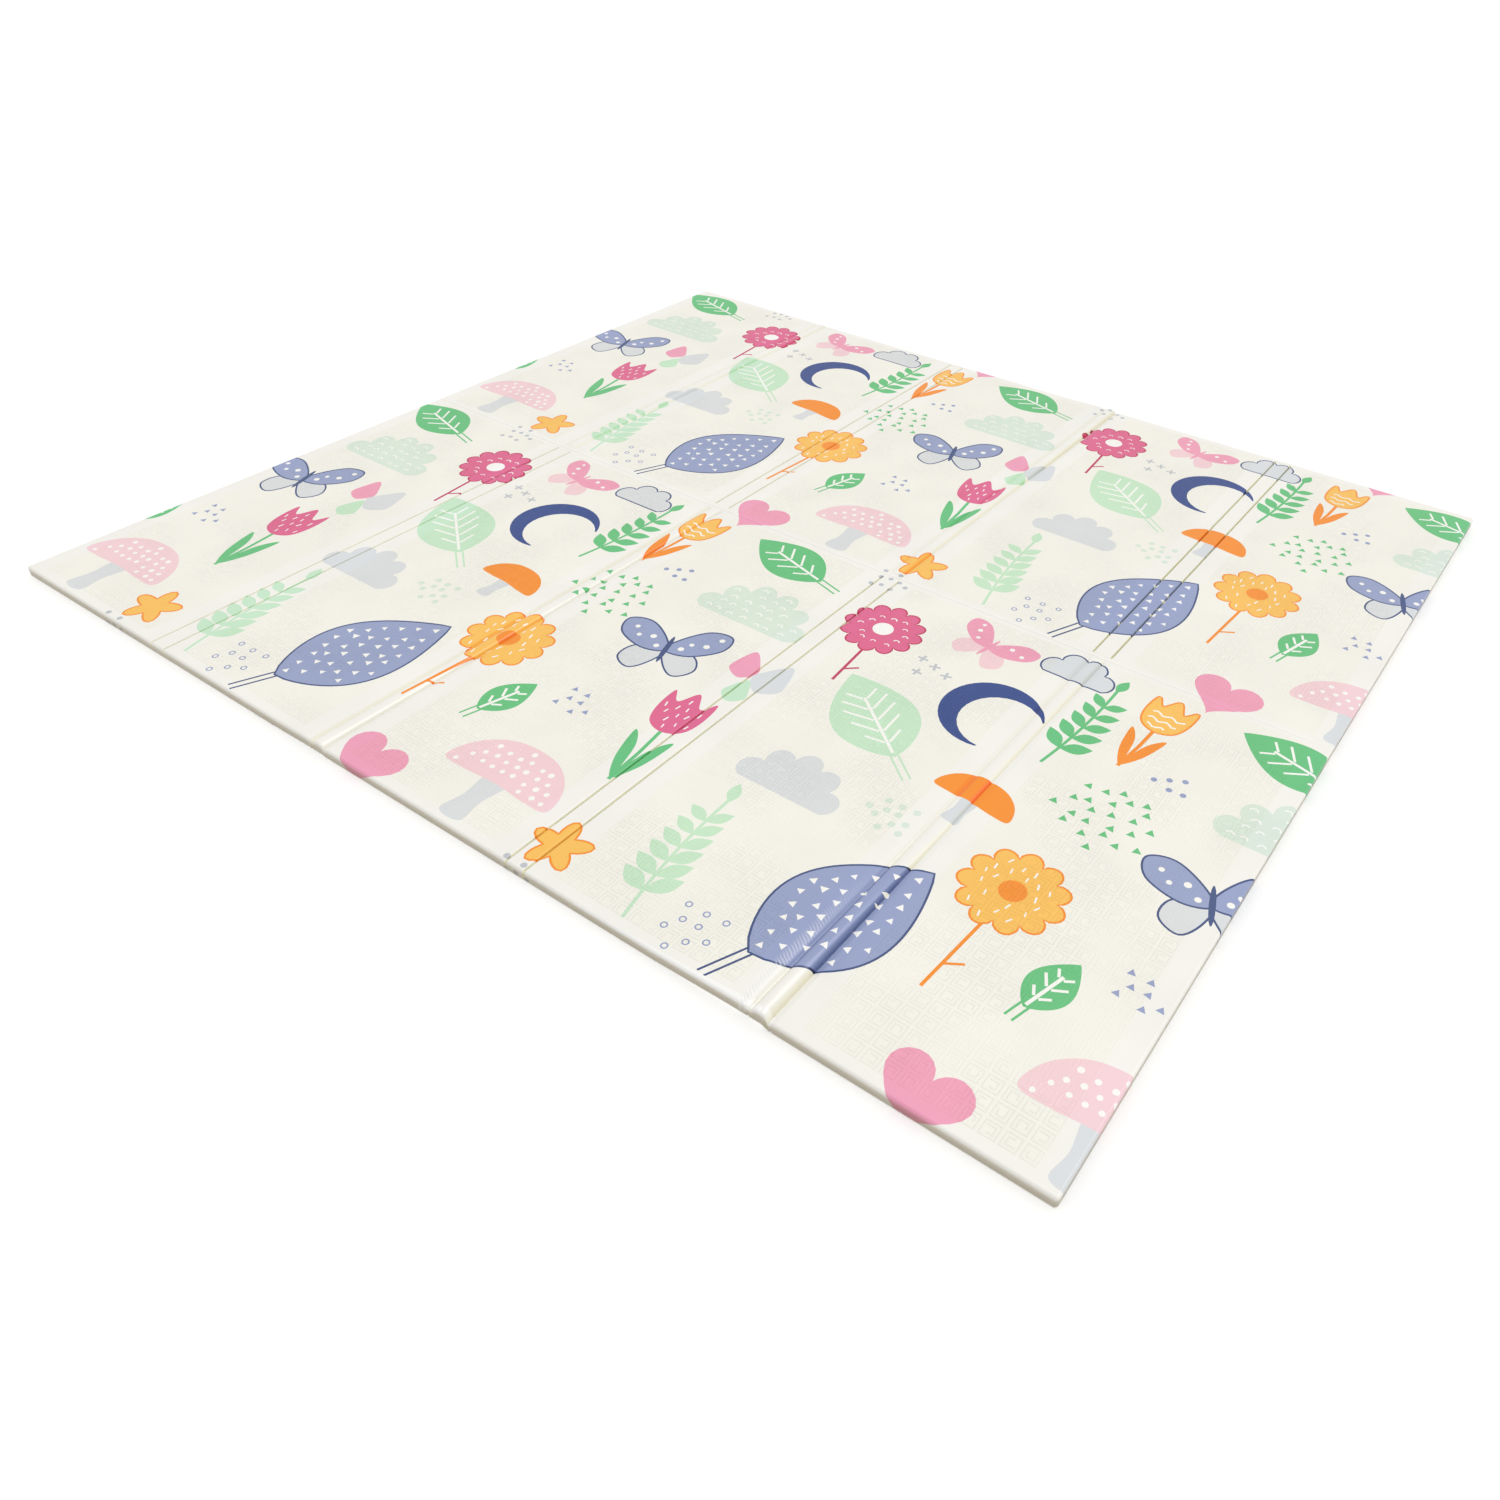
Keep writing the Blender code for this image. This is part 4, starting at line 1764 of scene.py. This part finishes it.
    def underside(self, border: Points) -> tuple[Points, Points, list[list[int]]]:
        """Cut the plain film of the underside inside the given border.

        Args:
            border: The border's points on the underside, in order.

        Returns:
            Points, triangles, and the border's points at each point.
        """
        form = self.form
        net = FlatNet()
        net.add_face(border)
        crease_end = form.cut_end - form.cut_end_slope
        for bead in form.beads:
            for foot in (-form.half_strip, form.half_strip):
                for step in self.cut_steps():
                    x = form.hinge_middle(bead.hinge) + foot + step
                    self.add_under_line(net, border, x, bead.half, (crease_end, form.cut_end))
        for y in self.cut_steps():
            ends = [i for i, p in enumerate(border) if abs(p[1] - y) < SAME_PLACE]
            if len(ends) == 2:
                net.lines.append((ends[0], ends[1]))
        inset = self.under_inset
        xs = np.linspace(-form.half_width + inset, form.half_width - inset, self.under_columns)
        ys = np.linspace(inset * 1.5, form.half_length - inset, self.under_rows)
        for half in Half:
            net.add_points(np.array([(x, half.value * y) for x in xs for y in ys]))
        points, triangles, _, given = net.triangles()
        return points, triangles, given

    def add_under_line(self, net: FlatNet, border: Points, x: float, half: Half, starts: Pair) -> None:
        """Add one line of a cut from below, from the crease to the border.

        Args:
            net: The drawing to add to.
            border: The border's points.
            x: Place of the line across the sheet.
            half: The half that it lies in.
            starts: Distances from the crease where the cut begins and is full.
        """
        ends = [i for i, p in enumerate(border) if abs(p[0] - x) < SAME_PLACE and p[1] * half.value > 0]
        numbers = net.add_points(np.array([(x, half.value * y) for y in starts]))
        net.lines.append((numbers[0], numbers[1]))
        if ends:
            net.lines.append((numbers[1], ends[0]))


@dataclass(frozen=True)
class FilmShade:
    """The film's colour at each place: its ink, with painted shade down the side, in the cuts and along the
    beads' flanks and feet.

    A shade is the share of red, green and blue light that is left. A gathered bead is
    given by its index and by how far in from the edge its ribs reach.
    """

    form: SheetForm
    # a khaki tint in the cuts: partly the pressed film's own tone, partly painted shade
    mouth_shade: Triple = (1.0, 0.99, 0.64)
    slit_shade: Triple = (1.0, 0.97, 0.52)
    # painted shade along the beads' feet
    foot_shade: Triple = (0.975, 0.965, 0.86)
    # painted shade down the side: darker than the top, and darker still towards its foot
    side_top_shade: Triple = (0.66, 0.61, 0.52)
    side_foot_shade: Triple = (0.47, 0.43, 0.36)
    side_shade_start: float = 0.6
    side_shade_run: float = 0.7
    # painted shade in the beads' flanks: how much darker and more saturated the ink is made, and where
    flank_shade_power: float = 0.85
    weak_flank_share: float = 0.55
    left_flank_shares: Series = (1.3, 2.3, 1.0, 1.0)
    right_flank_shares: Series = (0.9, 0.3, 1.2, 1.0)
    flank_profile: tuple[Pair, ...] = (
        (-0.0205, 0.0), (-0.0169, 0.28), (-0.0145, 0.22), (-0.0125, 0.50), (-0.0085, 0.12), (-0.0070, 0.0),
        (0.0036, 0.0), (0.0067, 0.20), (0.0091, 0.65), (0.01125, 1.0), (0.0125, 1.0), (0.01375, 0.0),
    )
    gathered: tuple[tuple[int, float], ...] = ((3, 0.20), (2, 0.14))
    gather_middle: float = -0.027
    gather_half_width: float = 0.0075
    gather_rise: float = 1.3
    gather_fade: float = 1.4
    upper_share: float = 0.6

    def painted_shade_by_place(self, film: Points) -> Points:
        """Painted shade: the share of light that the film sends back by its place on the sheet, darker down
        the side, in the cuts and at the beads' feet.

        Args:
            film: Places on the flat film.

        Returns:
            Shares for red, green and blue, one row for each place.
        """
        form = self.form
        x, y = film[:, 0], film[:, 1]
        _, _, run = form.split_film(film)
        # painted shade down the side, darker towards its foot
        down = np.clip((run - form.arc_run) / form.side_run, 0, 1)[:, None]
        side = np.array(self.side_top_shade) * (1 - down) + np.array(self.side_foot_shade) * down
        past = run / form.arc_run - self.side_shade_start
        low = smooth_step(past / self.side_shade_run)[:, None]
        made = 1 + (side - 1) * low
        depth = form.top_cuts(x, y)
        # khaki tint in the cuts, partly the film's own tone and partly painted shade
        for shade, share in (
            (self.mouth_shade, np.clip(depth / form.mouth_depth, 0, 1)),
            (self.slit_shade, np.clip(depth / form.mouth_depth - 1, 0, 1)),
        ):
            made = made * (1 + (np.array(shade) - 1) * share[:, None])
        # painted shade at the beads' feet
        return made * (1 + (np.array(self.foot_shade) - 1) * self.painted_flank_shade(film)[:, None])

    def painted_flank_shade(self, film: Points) -> Points:
        """Share of painted shade down a bead's sides and at its feet, where the ink is made darker and more
        saturated.

        Args:
            film: Places on the flat film.

        Returns:
            Shares, one for each place, and 0 where the film lies plain.
        """
        form = self.form
        x, y = film[:, 0], film[:, 1]
        offsets, depths = zip(*self.flank_profile)
        deepest = max(bead.foot for bead in form.beads)
        total = np.zeros(len(film))
        for bead in form.beads:
            strength = form.bead_strength(bead, y) * bead.foot / deepest
            strength = self.weak_flank_share + (1 - self.weak_flank_share) * strength
            offset = x - form.hinge_middle(bead.hinge)
            side = np.where(offset < 0, self.left_flank_shares[bead.hinge - 1],
                            self.right_flank_shares[bead.hinge - 1])
            share = np.interp(offset, offsets, depths) * side
            total = total + share * strength * form.off_crease(y) * form.in_half(y, bead.half)
        return total

    def colours(self, film: Points, triangles: Points, top: list[int], inks: list[Ink]) -> Points:
        """Colour of each triangle's corners on the printed film, with its painted shade.

        Args:
            film: Points of the flat film.
            triangles: Its triangles.
            top: Number of the last patch over each.
            inks: Ink of each patch.

        Returns:
            Linear red, green and blue, by triangle and corner.
        """
        palette = np.array([ink.reflectance() for ink in inks])
        # painted shade in the beads' flanks: the ink made darker and more saturated
        shade_power = 1 + self.flank_shade_power * self.painted_flank_shade(film)
        full = palette[np.array(top)][:, None, :] / INK_SHARE
        inked = INK_SHARE * full ** shade_power[triangles][..., None]
        return inked * self.painted_shade_by_place(film)[triangles]

    def gather(self, places: Points) -> Points:
        """Share of fine ribbing in the film beside the beads.

        Args:
            places: Places on the mat, one row each.

        Returns:
            Shares, one for each place.
        """
        form = self.form
        x, y = places[:, 0], places[:, 1]
        total = np.zeros(len(places))
        for index, reach in self.gathered:
            bead = form.beads[index]
            offset = x - form.hinge_middle(bead.hinge) - self.gather_middle
            across = np.clip(self.gather_rise - np.abs(offset) / self.gather_half_width, 0, 1)
            inward = smooth_step(self.gather_fade - (form.half_length - np.abs(y)) / reach)
            total += across * inward * form.in_half(y, bead.half)
        return total * (places[:, 2] > form.thickness * self.upper_share)


@dataclass(frozen=True)
class FilmSkin:
    """The printed film over the whole sheet, as one closed skin."""

    form: SheetForm
    cut: FilmCut
    shade: FilmShade
    finish: FilmFinish
    name: str = "mat_film"
    join_step: float = 2e-6
    normal_step: float = 0.00002
    corner_inset: float = 0.00015
    corner_share: float = 0.3
    least_normal: float = 1e-14
    least_agreement: float = 0.2

    def border(self, triangles: Points) -> list[int]:
        """Numbers of the points round the film, in order."""
        sides = {}
        for triangle in triangles:
            for a, b in zip(triangle, np.roll(triangle, -1)):
                sides[(int(a), int(b))] = True
        onward = {a: b for a, b in sides if (b, a) not in sides}
        start = next(iter(onward))
        loop = [start]
        while onward[loop[-1]] != start:
            loop.append(onward[loop[-1]])
        if len(loop) != len(onward):
            raise ValueError("the film's border is not one loop")
        return loop

    def normals(self, wrap: Callable[[Points], Points], flat: Points) -> Points:
        """Upward normals of a wrapped face.

        Args:
            wrap: Gives places on the flat face their places in space.
            flat: Places on the flat face, one row each.

        Returns:
            The normals, of any length.
        """
        along_x, along_y = (wrap(flat + step) - wrap(flat - step) for step in np.eye(2) * self.normal_step)
        return np.cross(along_x, along_y)

    def corner_places(self, corners: Points) -> Points:
        """Places just inside each triangle's corners, where its normals are read.

        Args:
            corners: Flat corners of the triangles, by triangle, corner and part.

        Returns:
            The places, one row for each corner.
        """
        middle = corners.mean(axis=1, keepdims=True)
        arm = middle - corners
        length = np.maximum(np.hypot(arm[..., 0], arm[..., 1]), NO_LENGTH)
        share = np.minimum(self.corner_share, self.corner_inset / length)[..., None]
        return (corners + arm * share).reshape(-1, 2)

    def build(self) -> bpy.types.Object:
        """Build the skin's mesh and dress it.

        Returns:
            The skin.
        """
        net, inks = self.cut.net()
        film, triangles, top, _ = net.triangles()
        flat_area = np.cross(film[triangles[:, 1]] - film[triangles[:, 0]],
                             film[triangles[:, 2]] - film[triangles[:, 0]])
        triangles[flat_area < 0] = triangles[flat_area < 0][:, ::-1]
        used, triangles = np.unique(triangles, return_inverse=True)
        triangles = triangles.reshape(-1, 3)
        film = film[used]
        loop = self.border(triangles)
        space = self.form.place(film)
        under, under_triangles, given = self.cut.underside(space[loop, :2])
        under_space = self.form.place_under(under)
        numbers = np.arange(len(under)) + len(space)
        for index, names in enumerate(given):
            found = [name for name in names if name < len(loop)]
            if found:
                numbers[index] = loop[found[0]]
        points = np.vstack([space, under_space])
        faces = np.vstack([triangles, numbers[under_triangles][:, ::-1]])
        colours = np.vstack([
            self.shade.colours(film, triangles, top, inks),
            np.tile(Ink.IVORY.reflectance(), (len(under_triangles), 3, 1)),
        ])
        normals = np.vstack([
            self.normals(self.form.place, self.corner_places(film[triangles])),
            -self.normals(self.form.place_under, self.corner_places(under[under_triangles][:, ::-1])),
        ]).reshape(-1, 3, 3)
        return self.make_object(points, faces, colours, normals)

    def make_object(self, points: Points, faces: Points, colours: Points,
                    normals: Points) -> bpy.types.Object:
        """Join the points that meet, drop what has no area, and make the object.

        Args:
            points: All points.
            faces: Triangles.
            colours: Colour of each triangle's corners.
            normals: Normals of each triangle's corners.

        Returns:
            The object.
        """
        _, first, joined = np.unique(np.round(points / self.join_step).astype(int), axis=0,
                                     return_index=True, return_inverse=True)
        faces = joined.reshape(-1)[faces]
        points = points[first]
        whole = (faces != np.roll(faces, -1, axis=1)).all(axis=1)
        faces, colours, normals = faces[whole], colours[whole], normals[whole]
        used, faces = np.unique(faces, return_inverse=True)
        faces = faces.reshape(-1, 3)
        points = points[used]
        mesh = bpy.data.meshes.new(self.name)
        mesh.from_pydata(points.tolist(), [], faces.tolist())
        mesh.polygons.foreach_set("use_smooth", np.ones(len(faces), dtype=bool))
        ink = mesh.color_attributes.new("ink", "FLOAT_COLOR", "CORNER")
        rows = np.column_stack([colours.reshape(-1, 3), np.ones(3 * len(faces))])
        ink.data.foreach_set("color", rows.astype(np.float32).ravel())
        gather = mesh.attributes.new("gather", "FLOAT", "POINT")
        gather.data.foreach_set("value", self.shade.gather(points).astype(np.float32))
        mesh.normals_split_custom_set(self.clean_normals(points, faces, normals).tolist())
        mesh.materials.append(self.finish.build(self.form))
        return new_object(self.name, mesh)

    def clean_normals(self, points: Points, faces: Points, normals: Points) -> Points:
        """Unit normals, with the triangle's own where a corner has none.

        Args:
            points: All points.
            faces: Triangles.
            normals: Normals of each triangle's corners, of any length.

        Returns:
            Unit normals, one row for each corner.
        """
        a, b, c = (points[faces[:, corner]] for corner in range(3))
        flat = np.cross(b - a, c - a)
        flat /= np.maximum(np.linalg.norm(flat, axis=1), NO_AREA)[:, None]
        length = np.linalg.norm(normals, axis=2, keepdims=True)
        unit = normals / np.maximum(length, NO_AREA)
        agree = np.einsum("ijk,ik->ij", unit, flat)[..., None]
        sound = (length > self.least_normal) & (agree > self.least_agreement)
        return np.where(sound, unit, flat[:, None, :]).reshape(-1, 3)


@dataclass(frozen=True)
class FilmSeam:
    """The thin welded ridge of film round the foot of the mat's side."""

    form: SheetForm
    finish: SeamFinish
    name: str = "film_seam"
    radius: float = 0.0004
    sides: int = 6
    step: float = 0.012
    down_share: float = 0.93
    corner_steps: int = 10
    long_side: float = 0.1

    def path(self) -> tuple[Points, list[tuple[int, int]]]:
        """Places along the seam, just above the lower edge, and the links between them.

        The seam stops on both sides of each cut that is made from below.

        Returns:
            The places, one row each, and pairs of linked places.
        """
        form = self.form
        loop = form.contour(form.arc_run + form.side_run * self.down_share, self.corner_steps)
        cut = (-form.cut_width / 2, form.cut_width / 2)
        feet = [form.hinge_middle(bead.hinge) + side * form.half_strip
                for bead in form.beads for side in (-1, 1)]
        stops = ([foot + step for foot in feet for step in cut], cut)
        film = []
        for a, b in zip(loop, np.roll(loop, -1, axis=0)):
            length = math.hypot(*(b - a))
            shares = {0.0, *(np.arange(1, int(length / self.step)) * self.step / length)}
            for axis, places in enumerate(stops):
                if abs(b[axis] - a[axis]) > self.long_side:
                    shares.update((place - a[axis]) / (b[axis] - a[axis]) for place in places)
            film += [a + (b - a) * share for share in sorted(shares) if 0 <= share < 1]
        film = np.array(film)
        onward = (np.arange(len(film)) + 1) % len(film)
        middle = (film + film[onward]) / 2
        whole = form.bottom_cuts(middle[:, 0], middle[:, 1]) < SAME_PLACE
        links = [(int(a), int(b)) for a, b in zip(np.nonzero(whole)[0], onward[whole])]
        return form.place(film), links

    def tree(self, material: bpy.types.Material) -> bpy.types.NodeTree:
        """Geometry nodes that sweep a round section along the seam's path."""
        tree = bpy.data.node_groups.new("film_seam_sweep", "GeometryNodeTree")
        for name, way, kind in (
            ("Path", "INPUT", "NodeSocketGeometry"),
            ("Radius", "INPUT", "NodeSocketFloat"),
            ("Sides", "INPUT", "NodeSocketInt"),
            ("Seam", "OUTPUT", "NodeSocketGeometry"),
        ):
            tree.interface.new_socket(name, in_out=way, socket_type=kind)
        sketch = NodeSketch(tree)
        given = sketch.add("NodeGroupInput")
        curve = sketch.add("GeometryNodeMeshToCurve")
        section = sketch.add("GeometryNodeCurvePrimitiveCircle", mode="RADIUS")
        sweep = sketch.add("GeometryNodeCurveToMesh")
        realize = sketch.add("GeometryNodeRealizeInstances")
        dress = sketch.add("GeometryNodeSetMaterial")
        result = sketch.add("NodeGroupOutput")
        dress.inputs["Material"].default_value = material
        sweep.inputs["Fill Caps"].default_value = True
        for source, output, target, entry in (
            (given, "Path", curve, "Mesh"),
            (given, "Radius", section, "Radius"),
            (given, "Sides", section, "Resolution"),
            (curve, "Curve", sweep, "Curve"),
            (section, "Curve", sweep, "Profile Curve"),
            (sweep, "Mesh", realize, "Geometry"),
            (realize, "Geometry", dress, "Geometry"),
            (dress, "Geometry", result, "Seam"),
        ):
            sketch.join(source.outputs[output], target.inputs[entry])
        return tree

    def build(self) -> bpy.types.Object:
        """Build the seam and turn its nodes' result into a plain mesh."""
        material = self.finish.build()
        places, links = self.path()
        mesh = bpy.data.meshes.new("seam_path")
        mesh.from_pydata(places.tolist(), links, [])
        guide = new_object("seam_path", mesh)
        modifier = guide.modifiers.new("sweep", "NODES")
        modifier.node_group = self.tree(material)
        sizes = {"Radius": self.radius, "Sides": self.sides}
        for item in modifier.node_group.interface.items_tree:
            if item.name in sizes:
                modifier[item.identifier] = sizes[item.name]
        graph = bpy.context.evaluated_depsgraph_get()
        made = bpy.data.meshes.new_from_object(guide.evaluated_get(graph), depsgraph=graph)
        made.name = self.name
        bpy.data.objects.remove(guide, do_unlink=True)
        work = bmesh.new()
        work.from_mesh(made)
        bmesh.ops.recalc_face_normals(work, faces=work.faces)
        work.to_mesh(made)
        work.free()
        made.shade_smooth()
        return new_object(self.name, made)


@dataclass(frozen=True)
class PhotoCamera:
    """The camera that stands where the photograph was taken from."""

    azimuth: float = 33.016
    elevation: float = 39.709
    roll: float = -2.670
    place: Triple = (1.1618, -1.5633, 1.1493)
    focal_pixels: float = 1190.85
    centre: Pair = (859.09, 742.84)
    frame_pixels: float = 1500.0
    sensor_width: float = 36.0
    nearest: float = 0.05
    farthest: float = 200.0

    def build(self) -> bpy.types.Object:
        """Make the camera and give it to the scene."""
        azimuth, elevation, roll = map(math.radians, (self.azimuth, self.elevation, self.roll))
        back = Vector((
            math.sin(azimuth) * math.cos(elevation),
            -math.cos(azimuth) * math.cos(elevation),
            math.sin(elevation),
        ))
        right = (-back).cross(Vector((0, 0, 1))).normalized()
        down = (-back).cross(right)
        turned_right = right * math.cos(roll) + down * math.sin(roll)
        turned_down = down * math.cos(roll) - right * math.sin(roll)
        data = bpy.data.cameras.new("photo_camera")
        data.sensor_fit = "HORIZONTAL"
        data.sensor_width = self.sensor_width
        data.lens = self.focal_pixels / self.frame_pixels * self.sensor_width
        data.shift_x = -(self.centre[0] - self.frame_pixels / 2) / self.frame_pixels
        data.shift_y = (self.centre[1] - self.frame_pixels / 2) / self.frame_pixels
        data.clip_start = self.nearest
        data.clip_end = self.farthest
        camera = new_object("photo_camera", data)
        rotation = Matrix((turned_right, -turned_down, back)).transposed()
        camera.matrix_world = Matrix.Translation(self.place) @ rotation.to_4x4()
        bpy.context.scene.camera = camera
        return camera


@dataclass(frozen=True)
class Studio:
    """A plain pale floor in soft, nearly even light."""

    floor_reach: float = 40.0
    floor_colour: Colour = (0.93, 0.93, 0.925, 1.0)
    floor_roughness: float = 0.9
    floor_specular: float = 0.1
    sky_strength: float = 0.70
    horizon_strength: float = 0.98
    horizon_window: Pair = (0.08, 0.42)
    sun_strength: float = 1.45
    sun_angle: float = 26.0
    sun_from: Triple = (0.22, 0.42, 1.0)

    def build(self) -> None:
        """Make the floor, the sky and the sun."""
        self.build_floor()
        self.build_sky()
        self.build_sun()
        bpy.context.scene.view_settings.view_transform = "Standard"

    def build_floor(self) -> None:
        """A wide plane under the mat."""
        reach = self.floor_reach
        mesh = bpy.data.meshes.new("floor")
        corners = [(-reach, -reach, 0), (reach, -reach, 0), (reach, reach, 0), (-reach, reach, 0)]
        mesh.from_pydata(corners, [], [(0, 1, 2, 3)])
        material, shader = new_material("floor")
        shader.inputs["Base Color"].default_value = self.floor_colour
        shader.inputs["Roughness"].default_value = self.floor_roughness
        shader.inputs["Specular IOR Level"].default_value = self.floor_specular
        mesh.materials.append(material)
        new_object("floor", mesh)

    def build_sky(self) -> None:
        """Even light from all round, a little brighter at the horizon."""
        world = bpy.data.worlds.new("studio")
        world.use_nodes = True
        background = world.node_tree.nodes["Background"]
        background.inputs["Color"].default_value = (1.0, 1.0, 1.0, 1.0)
        sketch = NodeSketch(world.node_tree)
        rise = sketch.parts(sketch.add("ShaderNodeTexCoord").outputs["Generated"])[2]
        strength = sketch.ease(rise, *self.horizon_window, self.horizon_strength, self.sky_strength)
        sketch.join(strength, background.inputs["Strength"])
        bpy.context.scene.world = world

    def build_sun(self) -> None:
        """One broad soft light from above."""
        data = bpy.data.lights.new("key", "SUN")
        data.energy = self.sun_strength
        data.angle = math.radians(self.sun_angle)
        data.use_shadow = False
        key = new_object("key", data)
        key.rotation_mode = "QUATERNION"
        key.rotation_quaternion = Vector(self.sun_from).to_track_quat("Z", "Y")


def main() -> None:
    """Dress the play mat and its studio."""
    logging.basicConfig(level=logging.INFO, format="%(name)s %(message)s")
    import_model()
    PhotoCamera().build()
    form = SheetForm()
    skin = FilmSkin(form, FilmCut(form, PrintDesign()), FilmShade(form), FilmFinish()).build()
    LOG.info("film skin: %d triangles", len(skin.data.polygons))
    seam = FilmSeam(form, SeamFinish()).build()
    LOG.info("film seam: %d faces", len(seam.data.polygons))
    Studio().build()
    for piece in (skin, seam):
        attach(piece, BODY)
    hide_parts(SHEET_NODE)


if __name__ == "__main__":
    main()
